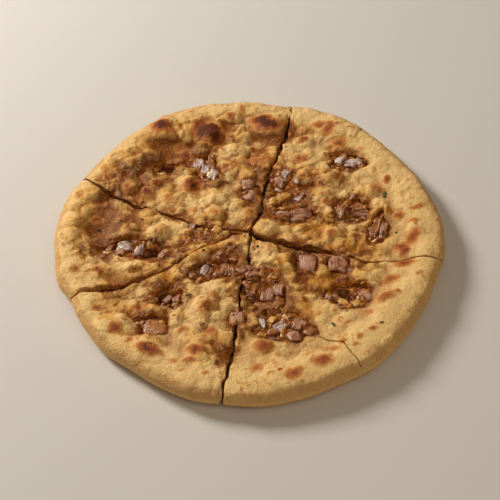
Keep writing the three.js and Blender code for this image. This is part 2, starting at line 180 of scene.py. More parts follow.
# %% Browned spots
browned = [
    # back slice
    (-50.5, 89, 6, 5, -20, 1.05), (-46, 85, 4, 3, 0, 0.6), (-49, 100, 3, 1.8, 10, 0.35),
    (-28, 90, 4, 3.6, 0, 0.75), (-23, 84, 8, 6.4, -25, 1.25), (-18, 80, 6, 5, 0, 1),
    (-8, 95.5, 2.4, 3, 0, 0.75), (10.5, 91, 6.4, 4.4, -15, 1.05), (14, 87, 7, 4, 0, 1.15),
    (21, 89, 3, 2, 0, 0.5), (-1, 101, 2, 4, -10, 0.45), (3, 104, 5, 2, 15, 0.2),
    (-83, 54, 3, 5, 10, 0.35), (-82, 48, 2.4, 2, 0, 0.6), (-79, 58, 3, 2, 0, 0.35),
    (-69.5, 40.5, 3.4, 3, 0, 0.6), (-59, 38.5, 3, 3, 0, 0.95), (-54, 44.5, 2.4, 2, 0, 0.75),
    (-46, 31, 3, 3.4, 0, 0.5), (-32, 41, 5.4, 3.8, 15, 0.9), (-26, 43, 6, 2.4, 0, 0.8),
    (-31, 22, 2.6, 2, 0, 0.3), (-19, 18, 3.4, 3, 0, 0.4), (0, 18, 3, 3.4, 0, 0.45),
    (5.5, 70, 2.6, 2.4, 0, 0.65), (10, 59, 8, 3, -5, 0.65), (18, 55, 3, 2, 0, 0.5),
    (-40, 75, 4, 3, 0, 0.45), (-13, 54, 2, 2.5, 0, 0.6),
    # right slice
    (35, 75, 2.6, 2.4, 0, 0.85), (51, 82, 3, 4.6, -20, 0.8), (45, 86, 4, 2.4, 0, 0.55),
    (57, 71, 4, 3, 40, 0.65), (56, 85, 2, 1.4, 0, 0.5), (33, 60, 4, 3, 0, 0.65),
    (47, 47.5, 3.4, 2.6, 30, 0.4), (75, 33, 3.6, 3, 0, 0.45), (82, 38, 1.8, 2.6, 0, 0.75),
    (68, 64, 3, 2, 0, 0.25), (97, 14, 4, 1.8, 10, 0.55), (86, 10, 3, 2.6, 0, 0.7),
    (93.5, 4, 3, 2, 0, 0.5), (92, -7.5, 3, 5.4, -25, 0.75), (84.5, -14, 4, 3.4, 0, 0.8),
    (86, -18, 2.8, 3, 0, 0.9), (89, 26, 2.4, 2, 0, 0.15), (81, 15, 3, 2, 0, 0.4),
    (46, 24, 3, 2.2, 0, 0.5), (46, -3, 3, 2.4, 0, 0.5), (60, -3, 2.6, 2, 0, 0.5),
    (54, -14, 3, 2, 0, 0.45), (45, -9, 2, 1.4, 0, 0.1), (30, 5, 3, 2, 0, 0.3), (36, 0, 4, 3, 0, 0.3),
    # front right slice
    (84.5, -26.5, 6, 2.4, -8, 0.7), (76, -37, 5, 2.4, 20, 0.6), (72, -50.5, 5.4, 3.4, 20, 0.65),
    (79, -48, 1.6, 1.6, 0, 0.55), (62, -59.5, 3, 2, 0, 0.4), (68, -60, 5, 1.4, 25, 0.15),
    (50, -66.5, 3, 1.8, 0, 0.25), (63, -73, 2.4, 1.4, 0, 0.65), (56, -77, 1.8, 2.2, 0, 0.5),
    (47, -79, 2.4, 1.6, 30, 0.5), (53, -83, 2.4, 1.2, 20, 0.4), (40, -83.5, 5, 1.8, 5, 0.45),
    (36, -92, 5, 3.6, 15, 0.7), (20, -99, 4.4, 3.2, 20, 0.7), (12.5, -96.5, 1.2, 1.2, 0, 0.9),
    (1, -93, 4, 2, 35, 0.55), (8, -97.5, 2.4, 1.2, 0, 0.35), (5, -78.5, 5, 4.2, 0, 0.7),
    (12, -85, 1.6, 2, 0, 0.3), (28, -86, 5, 2, 25, 0.25), (29, -38, 1.4, 1.6, 0, 0.6),
    (28.5, -47, 1.6, 1.8, 0, 0.7),
    # front left slice
    (-25, -51, 3.4, 4.8, -35, 0.5), (-21, -42, 2.6, 2, 0, 0.45), (-62, -48.5, 5, 2.4, 30, 0.6),
    (-84, -49.5, 3, 2.2, 0, 0.65), (-73.5, -64.5, 3.6, 3.2, -40, 0.85), (-66, -72, 1.8, 1.8, 0, 0.5),
    (-55.5, -79, 6.4, 3.4, -25, 0.9), (-37, -65.5, 2.8, 2, 0, 0.5), (-22.5, -67, 3.4, 2.4, 20, 0.7),
    (-30, -80.5, 5, 3, 0, 0.75), (-34, -87, 4, 2, 0, 0.5), (-38, -94, 3, 1.4, 0, 0.3),
    (-26, -96.5, 2, 1.4, 0, 0.4), (-42, -87, 3, 2, 0, 0.3), (-69, -58, 1.6, 1, 0, 0.4),
    # left slice
    (-97, -22, 3, 3, 0, 0.35), (-84, -22, 2.4, 3, 0, 0.8), (-65, -23, 4, 3, 0, 0.3),
    (-50, 6, 4, 3.6, 0, 0.25), (-66, -11, 4, 2.4, 0, 0.4), (-88, 17.5, 3.2, 2.2, 0, 0.7),
    (-97, 33, 2, 2.6, 0, 0.25),
]
print(len(browned), "browned spots")

# %% [markdown]
# Where the filling lies just under the crust, its oil soaks through and turns the dough amber. Nearer
# still the crust has gone to pieces and is as wet and brown as the filling. Between such zones the crust
# puffed up, stayed dry and is as pale as the rim. Along one cut the fat has run together and made a
# yellow band. Rows are x, y, half length, half width, turn and strength. Some of the oily zones also hold
# painted shade: they darken the dough where it lies in shadow, on the inner slope of the rim at the back
# left and beside the first cut.

# %% Oily and shaded, dry, wet and yellow zones
# The first list is oil stains and painted shade together.
soaked_and_shaded = [
    (-78, 37, 17, 19, 0, 1), (-64, 57, 24, 15, 45, 1), (-44, 60, 24, 13, 8, 1), (-48, 79, 20, 13, -15, 0.8),
    (-28, 69, 14, 14, 0, 1), (-84, 12, 16, 20, 0, 0.6), (-71, 12, 11, 16, 10, 0.9), (-80, -5, 20, 10, 0, 0.8),
    (-60, 44, 16, 12, 0, 0.9), (-72, -40, 20, 6, 12, 0.8), (-20, 80, 14, 14, 0, 0.8),
    (-53, -8, 13, 11, 0, 1), (-27, 4, 15, 14, 0, 0.9), (-43, 16, 9, 8, 0, 0.7), (-14, 5, 12, 6, 0, 0.8),
    (7, 34, 11, 30, -8, 0.9), (8, 57, 15, 10, 20, 0.9), (-20, 46, 18, 9, 20, 0.6), (20, 80, 20, 15, -25, 0.9),
    (30, 22, 17, 12, 0, 0.8), (32, 40, 12, 11, 0, 0.7), (57, 18, 17, 13, 10, 0.8), (71, -2, 7, 15, -15, 0.9),
    (56, 56, 11, 11, 0, 0.9), (40, -18, 32, 14, -15, 0.9), (-12, -18, 22, 18, 0, 1),
    (-3, -38, 12, 20, 0, 0.9), (10, -44, 18, 24, 0, 0.9), (22, -66, 20, 13, 10, 0.9),
    (-9, -63, 12, 10, 0, 0.9), (50, -42, 18, 14, -20, 1), (-47, -38, 16, 16, 0, 0.9),
    (-58, -54, 19, 10, 0, 0.7), (-15, -82, 9, 14, 8, 0.9), (28, -40, 12, 18, 0, 0.6),
    (-58, -25, 18, 7, 15, 0.7), (58, -15, 14, 8, 0, 0.8), (-5, -9, 10, 6, 20, 1.2), (-76, 32, 13, 10, 0, 1.2),
    (3, 9, 5, 6, 0, 1.2), (12, 85, 13, 6, -10, 1.3), (8, 58, 10, 7, 0, 1.2), (-84, -36, 14, 4, 15, 1.2),
    (-26, 74, 11, 10, 0, 1.2), (-95, -8, 7, 9, 0, 1), (-59, 24, 11, 6, -20, 1), (-8, -32, 8, 10, 0, 1.2),
    (-18, 42, 10, 7, 30, 1.2), (13, -9, 10, 4, -20, 1.2), (-38, -12, 11, 5, 25, 1), (10, -43, 9, 10, 0, 1.2),
    (-73, 7, 9, 8, 0, 1.3), (38, 0, 9, 6, 0, 1), (34, 59, 7, 7, 0, 1), (-12, 49, 6, 5, 0, 1),
    (41, 9, 7, 5, 0, 1), (-71, 42, 8, 6, 0, 1.2), (44, 41, 6, 5, 0, 1),
]
dry = [
    (-50, 8, 15, 11, 0, 0.9), (-43, 8, 10, 9, 0, 1), (-25, 26, 22, 12, 0, 0.9), (-33, 27, 9, 10, 0, 1),
    (-8, 19, 8, 13, 15, 1), (-12, 65, 13, 8, 15, 0.9), (-38, 44, 7, 12, -10, 0.9), (-50, 29, 9, 8, 0, 0.9),
    (-8, 42, 6, 14, 0, 0.8), (15, 4, 9, 7, 20, 1), (25, 1, 10, 6, 0, 0.6), (7, -16, 13, 11, -10, 1),
    (30, 66, 11, 15, 0, 0.8), (42, 57, 12, 11, 0, 0.9), (45, 74, 13, 9, 0, 0.8), (70, 46, 20, 22, 0, 0.9),
    (44, 24, 8, 14, 0, 0.7), (76, 23, 10, 9, 0, 0.9), (-71, -17, 12, 10, 0, 1), (-25, -39, 16, 12, 20, 0.9),
    (-36, -55, 17, 20, 0, 0.9), (-15, -50, 9, 11, 0, 1), (-43, -68, 11, 14, 0, 1), (-63, -40, 13, 9, 20, 1),
    (46, -6, 10, 7, 0, 0.5), (58, 7, 12, 7, 0, 1), (0, 92, 7, 7, 0, 1), (-51, 1, 10, 7, 0, 1),
    (52, -60, 22, 9, -35, 1), (38, -66, 11, 11, 0, 1), (17, 28, 9, 5, 30, 0.9), (-9, 32, 6, 10, 0, 1),
    (43, 69, 13, 9, 0, 1), (-22, -58, 17, 14, 0, 1), (4, 75, 11, 6, 0, 1), (-30, -18, 13, 4, 30, 1),
    (9, -24, 7, 8, 0, 0.9), (36, -47, 7, 9, 0, 0.9), (54, 32, 10, 9, 0, 1), (70, -37, 10, 11, 0, 1),
    (3, -73, 6, 7, 0, 1), (-67, -59, 8, 8, 0, 1), (-87, -16, 8, 6, 0, 1), (-90, 3, 5, 6, 0, 0.6),
    (1, 67, 6, 5, 0, 1),
]
wet = [
    (-14, -14, 16, 12, 0, 0.8), (-29, 0.5, 17, 6, 20, 1), (-20, -19.5, 20, 7, 14, 1),
    (-2, -27, 6, 12, 0, 0.9), (6, -38, 14, 18, 8, 1), (17, -62, 18, 13, -14, 1),
    (26, 16, 20, 8, -4, 1), (21, 36, 16, 9, 66, 0.9), (60, 19, 14, 9, 10, 0.9),
    (73, 2, 14, 7, 70, 0.8), (51, -44, 16, 11, -18, 0.9), (37, -19, 15, 8, 0, 0.7),
    (-24, 57, 15, 11, -48, 0.9), (3, 38, 8, 12, -10, 0.8), (7, 54, 10, 6, 20, 0.7),
    (-66, -5, 22, 8, -12, 0.9), (-47, -41, 11, 9, 20, 0.8), (-61, -48.5, 8, 4, 30, 0.7),
    (-54, -60, 11, 7, 10, 0.7), (61, 55, 12, 8, -10, 0.7), (-16, -74, 9, 5, 12, 0.5),
    (-48, 57, 10, 7, 0, 0.7), (22, -45, 7, 10, 30, 0.5), (-10, -60, 5, 9, 0, 0.5),
    (34, 44, 8, 6, 30, 0.5),
]
yellow = [
    (-22, -8.5, 22, 4.4, 27, 1), (-47, -27, 9, 5, 20, 0.7), (17, -19, 8, 9, 0, 0.6),
    (40, -34, 10, 20, 20, 0.5), (30, -52, 8, 12, 0, 0.5), (35, 4, 26, 7, -8, 0.5),
    (52, -9, 22, 8, -12, 0.5), (0, 46, 9, 8, 0, 0.4), (20, 99, 12, 8, 0, 0.3),
]
print(len(soaked_and_shaded), "oily zones,", len(dry), "dry,", len(wet), "wet and", len(yellow), "yellow ones")

# %% [markdown]
# ## Shapes from formulas
# All the forms use the same few helpers. `smooth` eases from 0 to 1, `round_table` reads a table that
# runs round the bread, and `oval_weight` says how far inside an oval a point lies. They take whole
# arrays of points at once, which is what keeps numpy fast.

# %% Helpers for smooth forms
def smooth(low, high, value):
    share = np.clip((value - low) / (high - low), 0, 1)
    return share * share * (3 - 2 * share)


def round_table(rows, x, y):
    start = rows[0][0]
    angle = (np.degrees(np.arctan2(y, x)) + 360 - start) % 360
    knots = np.array([row[0] - start for row in rows] + [360.0])
    values = np.array([row[1] for row in rows] + [rows[0][1]], float)
    after = np.clip(np.searchsorted(knots, angle, side="right"), 1, len(rows))
    share = smooth(0, 1, (angle - knots[after - 1]) / (knots[after] - knots[after - 1]))
    return values[after - 1] + (values[after] - values[after - 1]) * share


def cos_sin(degrees):
    return math.cos(math.radians(degrees)), math.sin(math.radians(degrees))


def along_across(x, y, oval):
    c, s = cos_sin(oval[4])
    along = ((x - oval[0]) * c + (y - oval[1]) * s) / oval[2]
    across = ((y - oval[1]) * c - (x - oval[0]) * s) / oval[3]
    return along, across


def oval_weight(x, y, oval, wider=1):
    along, across = along_across(x, y, oval)
    return np.maximum(0, 1 - (along**2 + across**2) / wider**2)


def dome(weight):
    return weight * weight * (3 - 2 * weight)


def sum_of(ovals, x, y):
    return sum(oval[5] * dome(oval_weight(x, y, oval)) for oval in ovals)


def highest_of(ovals, x, y):
    return np.max([oval[5] * dome(oval_weight(x, y, oval)) for oval in ovals], axis=0)


def frayed(x, y, size):
    """Shifts points in small waves, so that an oval measured on them gets a ragged outline."""
    along = np.sin(0.55 * y + 1) + 0.6 * np.sin(1.3 * y - 0.4 * x + 2) + 0.4 * np.sin(2.4 * y + 1.1 * x)
    across = np.sin(0.5 * x + 4) + 0.6 * np.sin(1.2 * x + 0.5 * y) + 0.4 * np.sin(2.6 * x - 0.9 * y + 1)
    return x + size * along, y + size * across


print("halfway up a smooth step:", float(smooth(0, 1, 0.5)))

# %% [markdown]
# The small lumps are scattered by chance, but the chance has a fixed start, so every run gives the same
# bread. This simple generator gives the same numbers in any programming language.

# %% Small lumps
def random_stream(seed):
    state = seed
    while True:
        state = (state * 1664525 + 1013904223) % 4294967296
        yield state / 4294967296


def scattered_lumps():
    draw = random_stream(11)
    rows = []
    for _ in range(lump_count):
        angle = 2 * math.pi * next(draw)
        radius = lump_reach * math.sqrt(next(draw))
        size = lump_sizes[0] + (lump_sizes[1] - lump_sizes[0]) * next(draw)
        height = lump_heights[0] + (lump_heights[1] - lump_heights[0]) * next(draw)
        rows.append((radius * math.cos(angle), radius * math.sin(angle), size, size, 0, height))
    return rows


lumps = scattered_lumps()
print("first lump at", [round(v, 1) for v in lumps[0][:2]])

# %% [markdown]
# The top of the bread is a sum: a flat middle that climbs to the rim, less the dents, plus blisters and
# lumps. Real dough also bulges a little under each browned spot, because only what stands up browns.

# %% Height of the bread
spot_rise = (0.15, 0.7)
spot_spread = 1.35
rim_calm = 0.75


def edge_at(x, y):
    angle = np.arctan2(y, x)
    wobble = 0.45 * np.sin(7 * angle + 1) + 0.35 * np.sin(13 * angle + 2) + 0.2 * np.sin(23 * angle)
    return round_table(edge_radii, x, y) + wobble


def rim_share(x, y):
    edge = round_table(edge_radii, x, y)
    return smooth(edge - rim_nose - rim_slope, edge - rim_nose, np.hypot(x, y))


def plain_top(x, y):
    crest = round_table(rim_heights, x, y)
    level = middle_height + (crest - middle_height) * rim_share(x, y)
    return level - sum_of(dents, x, y) + sum_of(swells, x, y)


def spot_domes(x, y):
    low, high = spot_rise
    domes = [(low + high * row[5]) * dome(oval_weight(x, y, row, spot_spread)) for row in browned]
    return (1 - rim_calm * rim_share(x, y)) * np.max(domes, axis=0)


def broad_top(x, y):
    return plain_top(x, y) + sum_of(blisters, x, y) + sum_of(lumps, x, y)


print("height at the hub:", round(float(broad_top(*map(np.asarray, hub))), 2), "mm")

# %% [markdown]
# ## Meshes from rings
# A disc whose ring number k has 6k points keeps its triangles almost equal from the middle to the rim.
# That matters here: a grid of spokes would be needle-thin in the middle and coarse at the rim, and the
# small bubbles would come out uneven.

# %% Disc and tube builders
def disc_triangles(rings):
    first = lambda k: 1 + 3 * k * (k - 1) if k else 0
    triangles = []
    for k in range(rings):
        sector, step = np.meshgrid(np.arange(6), np.arange(k + 1), indexing="ij")
        outer = first(k + 1) + (sector * (k + 1) + step) % (6 * (k + 1))
        outer_next = first(k + 1) + (sector * (k + 1) + step + 1) % (6 * (k + 1))
        inner = first(k) + (sector * k + step) % max(6 * k, 1)
        triangles.append(np.stack([inner, outer, outer_next], -1).reshape(-1, 3))
        inner_next = first(k) + (sector * k + step + 1) % max(6 * k, 1)
        between = np.stack([inner, outer_next, inner_next], -1)[:, :-1]
        triangles.append(between.reshape(-1, 3))
    return np.concatenate(triangles)


def shaped_disc(profile, place):
    """A closed body: rings from the middle of the top, over the edge and down to a flat underside."""
    rings = len(profile) - 1
    number = np.repeat(np.arange(rings + 1), [1] + [6 * k for k in range(1, rings + 1)])
    step = np.concatenate([[0]] + [np.arange(6 * k) for k in range(1, rings + 1)])
    angle = 2 * math.pi * step / np.maximum(6 * number, 1)
    radius, share = np.array(profile, float)[number].T
    points = np.stack(place(radius * np.cos(angle), radius * np.sin(angle), share), -1)
    underside = list(range(len(points) - 6 * rings, len(points)))[::-1]
    return points, disc_triangles(rings).tolist() + [underside]


def tube(rings):
    """A closed body through a stack of rings that run counter-clockwise, with a cap on each end."""
    rings = np.asarray(rings, float)
    index = np.arange(rings.shape[0] * rings.shape[1]).reshape(rings.shape[:2])
    after = np.roll(index, -1, 1)
    sides = np.stack([index[:-1], after[:-1], after[1:], index[1:]], -1).reshape(-1, 4)
    return rings.reshape(-1, 3), sides.tolist() + [index[0][::-1].tolist(), index[-1].tolist()]


def standing(outlines, heights):
    """A closed body through flat outlines, one at each height."""
    return tube([np.column_stack([outline, np.full(len(outline), height)])
                 for outline, height in zip(outlines, heights)])


def ring_at(along, across, up):
    """One ring of a body that lies along x."""
    return np.stack([np.full(len(across), along), across, up], -1)


def new_object(name, points, faces):
    mesh = bpy.data.meshes.new(name)
    mesh.from_pydata((np.asarray(points) * MM).tolist(), [], faces)
    mesh.validate()
    made = bpy.data.objects.new(name, mesh)
    bpy.context.scene.collection.objects.link(made)
    return made


print("a disc of 3 rings has", len(disc_triangles(3)), "triangles")

# %% [markdown]
# The bread itself: rings about half a millimetre apart over the top, then round the nose of the rim,
# which is a little squarer than a circle, and down to the flat underside.

# %% Body of the bread
ring_step = 0.56
nose_rings = 34


def nose_profile():
    rows = []
    for angle in np.linspace(90, -90, nose_rings + 1)[1:]:
        c = max(math.cos(math.radians(angle)), 0) ** nose_fullness
        s = math.copysign(abs(math.sin(math.radians(angle))) ** nose_fullness, angle)
        rows.append((bread_radius - rim_nose + rim_nose * c, (1 + s) / 2))
    return rows


def place_bread(x, y, share):
    stretch = edge_at(x, y) / bread_radius
    x, y = x * stretch, y * stretch
    return x, y, share * (broad_top(x, y) + spot_domes(x, y) - lip_dip(x, y))


flat_rings = round((bread_radius - rim_nose) / ring_step)
flat_profile = [((bread_radius - rim_nose) * k / flat_rings, 1) for k in range(flat_rings + 1)]
print("rings over the top:", flat_rings, "and round the nose:", nose_rings)

# %% [markdown]
# ## Torn and cut edges
# A torn edge rolls down towards the filling, and a cut edge is only softened. Both need the distance to
# the nearest edge. For an oval tear that is worked out from its own outline, which waves in and out by
# a few sine terms. For the cuts it is the distance to the nearest of many points along the knife's path.

# %% Distance to the edges
tear_waves = [(2, 0.08), (3, 0.1), (5, 0.08), (8, 0.05), (13, 0.035)]
tear_lip = (4.5, 1.6)
cut_lip = (1.4, 0.5)
far_away = 1e3
path_step = 0.5
path_smoothing = 7
batch = 20000


def tear_reach(number, angle):
    waves = [size * np.sin(count * angle + number * count) for count, size in tear_waves]
    return 1 + sum(waves)


def tear_distance(x, y):
    """Millimetres outside the nearest tear, negative inside one."""
    nearest = np.full(np.shape(x), far_away)
    for number, oval in enumerate(tears):
        along, across = along_across(x, y, oval)
        angle = np.arctan2(across, along)
        scale = np.hypot(oval[2] * np.cos(angle), oval[3] * np.sin(angle))
        nearest = np.minimum(nearest, (np.hypot(along, across) - tear_reach(number, angle)) * scale)
    return nearest


def soft_kernel(half):
    """Weights of a moving average that fade out on both sides."""
    window = np.hanning(2 * half + 1)
    return window / window.sum()


def dense_path(rows):
    rows = np.array(rows, float)
    length = np.concatenate([[0], np.cumsum(np.hypot(*np.diff(rows[:, :2], axis=0).T))])
    along = np.linspace(0, length[-1], max(int(length[-1] / path_step), 2))
    path = np.stack([np.interp(along, length, values) for values in rows.T], -1)
    ends = (path_smoothing, path_smoothing)
    padded = np.pad(path, (ends, (0, 0)), mode="reflect", reflect_type="odd")
    kernel = soft_kernel(path_smoothing)
    return np.stack([np.convolve(values, kernel, "valid") for values in padded.T], -1)


path_points = np.concatenate([dense_path(rows) for rows in cuts])


def cut_distance(x, y):
    """Millimetres from the nearest cut's edge, negative in its gap."""
    points = np.stack([np.ravel(x), np.ravel(y)], -1)
    found = np.empty(len(points))
    knife = path_points[:, :2]
    for start in range(0, len(points), batch):
        some = points[start:start + batch]
        squares = (some**2).sum(1)[:, None] + (knife**2).sum(1) - 2 * some @ knife.T
        nearest = squares.argmin(1)
        reach = np.sqrt(np.maximum(squares[np.arange(len(some)), nearest], 0))
        found[start:start + batch] = reach - path_points[nearest, 2] / 2
    return found.reshape(np.shape(x))


def rolled_edge(distance, lip):
    width, depth = lip
    return depth * np.clip(1 - np.maximum(distance, 0) / width, 0, 1) ** 2


def lip_dip(x, y):
    torn = rolled_edge(tear_distance(x, y), tear_lip)
    return np.maximum(torn, rolled_edge(cut_distance(x, y), cut_lip))


bread = new_object("bread", *shaped_disc(flat_profile + nose_profile(), place_bread))
print("bread body:", len(bread.data.polygons), "faces")

# %% [markdown]
# ## Recipes of nodes
# Both Geometry Nodes and materials are graphs, and a graph reads best as a formula. `Value` wraps a
# socket so that `1 - mask` or `0.4 * bumps` adds the Math node that it stands for. `Recipe` wraps a tree,
# and its method `node` makes any other node: settings first, then what goes into its sockets. The rest
# of its methods are short names for the nodes that come up most.

# %% Value and Recipe
class Value:
    def __init__(self, recipe, socket):
        self.recipe = recipe
        self.socket = socket

    def beside(self, name):
        """Another output of the same node."""
        return Value(self.recipe, self.socket.node.outputs[name])

    def math(self, operation, other, swapped=False):
        pair = [other, self] if swapped else [self, other]
        return self.recipe.node("ShaderNodeMath", {"operation": operation}, dict(enumerate(pair)))


def teach_sign(name, operation):
    """Lets a Value stand on either side of a sign of arithmetic."""
    setattr(Value, f"__{name}__", lambda self, other: self.math(operation, other))
    setattr(Value, f"__r{name}__", lambda self, other: self.math(operation, other, True))


for name, operation in (("add", "ADD"), ("sub", "SUBTRACT"), ("mul", "MULTIPLY"), ("truediv", "DIVIDE")):
    teach_sign(name, operation)


class Recipe:
    def __init__(self, tree):
        self.tree = tree

    def node(self, kind, settings=None, inputs=None, output=0):
        made = self.tree.nodes.new(kind)
        for name, value in (settings or {}).items():
            setattr(made, name, value)
        self.fill(made, inputs or {})
        return Value(self, made.outputs[output])

    def fill(self, made, inputs):
        """Links or sets a node's sockets."""
        for key, value in inputs.items():
            if isinstance(value, Value):
                self.tree.links.new(value.socket, made.inputs[key])
            else:
                made.inputs[key].default_value = value

    def smooth(self, low, high, value):
        inputs = {"Value": value, "From Min": low, "From Max": high}
        return self.node("ShaderNodeMapRange", {"interpolation_type": "SMOOTHSTEP"}, inputs)

    def mix(self, factor, first, second):
        return self.node("ShaderNodeMix", {"data_type": "RGBA"}, {0: factor, 6: first, 7: second}, 2)

    def shift(self, vector, other):
        return self.node("ShaderNodeVectorMath", {"operation": "ADD"}, {0: vector, 1: other})

    def scale(self, vector, factor):
        return self.node("ShaderNodeVectorMath", {"operation": "SCALE"}, {0: vector, "Scale": factor})

    def noise(self, place, size, detail=2, roughness=0.5, output="Fac"):
        inputs = {"Vector": place, "Scale": 1 / (size * MM), "Detail": detail, "Roughness": roughness}
        return self.node("ShaderNodeTexNoise", {}, inputs, output)

    def attribute(self, name):
        return self.node("ShaderNodeAttribute", {"attribute_name": name}, {}, "Fac")

    def painted(self, name):
        """The same attribute, as Geometry Nodes read it."""
        return self.node("GeometryNodeInputNamedAttribute", {"data_type": "FLOAT"}, {"Name": name})

    def bump(self, strength, distance, height):
        inputs = {"Strength": strength, "Distance": distance * MM, "Height": height}
        return self.node("ShaderNodeBump", {}, inputs, "Normal")


print("recipes ready")

# %% [markdown]
# ## Bubbled crust
# Steam lifts the crust in broad pillows with smaller bubbles on them. Hundreds of them follow the
# surface, so Geometry Nodes make them. A Voronoi texture gives every pillow its own cell, a distance
# from the cell's middle, which makes the dome, and a chance value, which makes some high and leaves
# others out. The domes fall off to narrow valleys where they meet, as they do in real dough. The position
# is first bent by noise, or the pillows would look as even as tiles. A fine noise adds the skin.
# Attributes, painted below, say where the crust is bubbly and where it is loose.

# %% Tree of the bubbled crust
def group_input(tree, name, kind, value):
    socket = tree.interface.new_socket(name, in_out="INPUT", socket_type=kind)
    if value is not None:
        socket.default_value = value
    return socket.identifier


def new_tree(name, inputs):
    tree = bpy.data.node_groups.new(name, "GeometryNodeTree")
    tree.interface.new_socket("Geometry", in_out="OUTPUT", socket_type="NodeSocketGeometry")
    tree.interface.new_socket("Geometry", in_out="INPUT", socket_type="NodeSocketGeometry")
    identifiers = {row[0]: group_input(tree, *row) for row in inputs}
    recipe = Recipe(tree)
    source = tree.nodes.new("NodeGroupInput")
    given = {socket.name: Value(recipe, socket) for socket in source.outputs if socket.name}
    return tree, recipe, given, identifiers


def end_tree(recipe, geometry, material):
    whole = recipe.node("GeometryNodeRealizeInstances", {}, {"Geometry": geometry})
    dressed = recipe.node("GeometryNodeSetMaterial", {}, {"Geometry": whole, "Material": material})
    target = recipe.tree.nodes.new("NodeGroupOutput")
    recipe.tree.links.new(dressed.socket, target.inputs[0])


def bubbled_tree():
    tree, recipe, given, identifiers = new_tree("bubbled surface", [
        ("Pillow size", "NodeSocketFloat", 12.0 * MM), ("Pillow height", "NodeSocketFloat", 1.5 * MM),
        ("Bubble size", "NodeSocketFloat", 5.0 * MM), ("Bubble height", "NodeSocketFloat", 0.8 * MM),
        ("Skin height", "NodeSocketFloat", 0.3 * MM), ("Sway height", "NodeSocketFloat", 1.0 * MM),
        ("Warp", "NodeSocketFloat", 3.0 * MM), ("Seed", "NodeSocketFloat", 1.0),
        ("Material", "NodeSocketMaterial", None),
    ])
    place = recipe.node("GeometryNodeInputPosition")
    offset = recipe.node("ShaderNodeCombineXYZ", {}, {"X": given["Seed"], "Y": given["Seed"] * 0.37})
    noise_at = recipe.shift(place, offset)
    bend = recipe.noise(noise_at, 7, detail=2, output="Color")
    bend = recipe.shift(bend, (-0.5, -0.5, -0.5))
    bent = recipe.shift(noise_at, recipe.scale(bend, given["Warp"]))

    def domes(size, height):
        cell = recipe.node("ShaderNodeTexVoronoi", {"feature": "SMOOTH_F1"}, {
            "Vector": bent, "Scale": 1 / size, "Smoothness": 0.22, "Randomness": 0.95}, "Distance")
        chance = recipe.smooth(0.3, 0.68, cell.beside("Color"))
        dome = (1 - cell * cell * 1.8).math("MAXIMUM", 0)
        return (dome * (0.3 + chance) - 0.4) * height

    pillows = domes(given["Pillow size"], given["Pillow height"])
    bubbles = domes(given["Bubble size"], given["Bubble height"])
    skin = (recipe.noise(noise_at, 1.9, detail=3, roughness=0.6) - 0.5) * given["Skin height"]
    sway = (recipe.noise(noise_at, 17, detail=2) - 0.5) * given["Sway height"]
    bubbly = recipe.painted("bubbly")
    rise = (pillows + bubbles) * bubbly + (sway + skin * (0.45 + 0.55 * bubbly)) * recipe.painted("loose")
    way = recipe.node("GeometryNodeInputNormal")
    moved = recipe.node("GeometryNodeSetPosition", {},
                        {"Geometry": given["Geometry"], "Offset": recipe.scale(way, rise)})
    end_tree(recipe, moved, given["Material"])
    return tree, identifiers


bubbled, bubbled_inputs = bubbled_tree()
print("inputs:", ", ".join(bubbled_inputs))

# %% [markdown]
# A modifier's inputs are set by their identifiers before the object is evaluated for the first time.
# The result becomes a plain mesh, and the modifier goes.

# %% Apply a modifier as a plain mesh
def settle(made):
    """Replaces an object's mesh by what its modifiers make of it."""
    graph = bpy.context.evaluated_depsgraph_get()
    graph.update()
    result = bpy.data.meshes.new_from_object(made.evaluated_get(graph), depsgraph=graph)
    made.modifiers.clear()
    old = made.data
    made.data = result
    bpy.data.meshes.remove(old)


def apply_tree(made, tree, identifiers, values):
    modifier = made.modifiers.new(tree.name, "NODES")
    modifier.node_group = tree
    for name, value in values.items():
        modifier[identifiers[name]] = value
    settle(made)


def points_of(made):
    flat = np.empty(3 * len(made.data.vertices), np.float32)
    made.data.vertices.foreach_get("co", flat)
    return flat.reshape(-1, 3).T / MM


def set_attribute(made, name, values):
    layer = made.data.attributes.get(name) or made.data.attributes.new(name, "FLOAT", "POINT")
    layer.data.foreach_set("value", np.asarray(values, np.float32))


def set_points(made, x, y, z):
    made.data.vertices.foreach_set("co", (np.stack([x, y, z], -1) * MM).astype(np.float32).ravel())
    made.data.update()


def read_attribute(made, name):
    values = np.empty(len(made.data.vertices), np.float32)
    made.data.attributes[name].data.foreach_get("value", values)
    return values


print("points of the bread:", len(bread.data.vertices))

# %% [markdown]
# The outer band of the bread stayed pale and tight. How wide it is changes round the bread, so it is
# one more round table: degrees and millimetres from the edge.

# %% Bubble the crust
band_widths = [
    (0, 41), (20, 36), (32, 34), (45, 24), (60, 22), (90, 18), (110, 15), (122, 9), (135, 11), (180, 10),
    (188, 16), (196, 24), (206, 17), (216, 14), (232, 20), (242, 34), (252, 28), (262, 26), (268, 56),
    (273, 56), (285, 46), (298, 48), (308, 44), (320, 34), (330, 38), (340, 41),
]
calmest = 0.66


def band_share(x, y):
    """1 on the pale outer band, falling to 0 inside it."""
    ragged = frayed(x, y, 1.6)
    return smooth(1.15, 0.45, (edge_at(x, y) - np.hypot(*ragged)) / round_table(band_widths, x, y))


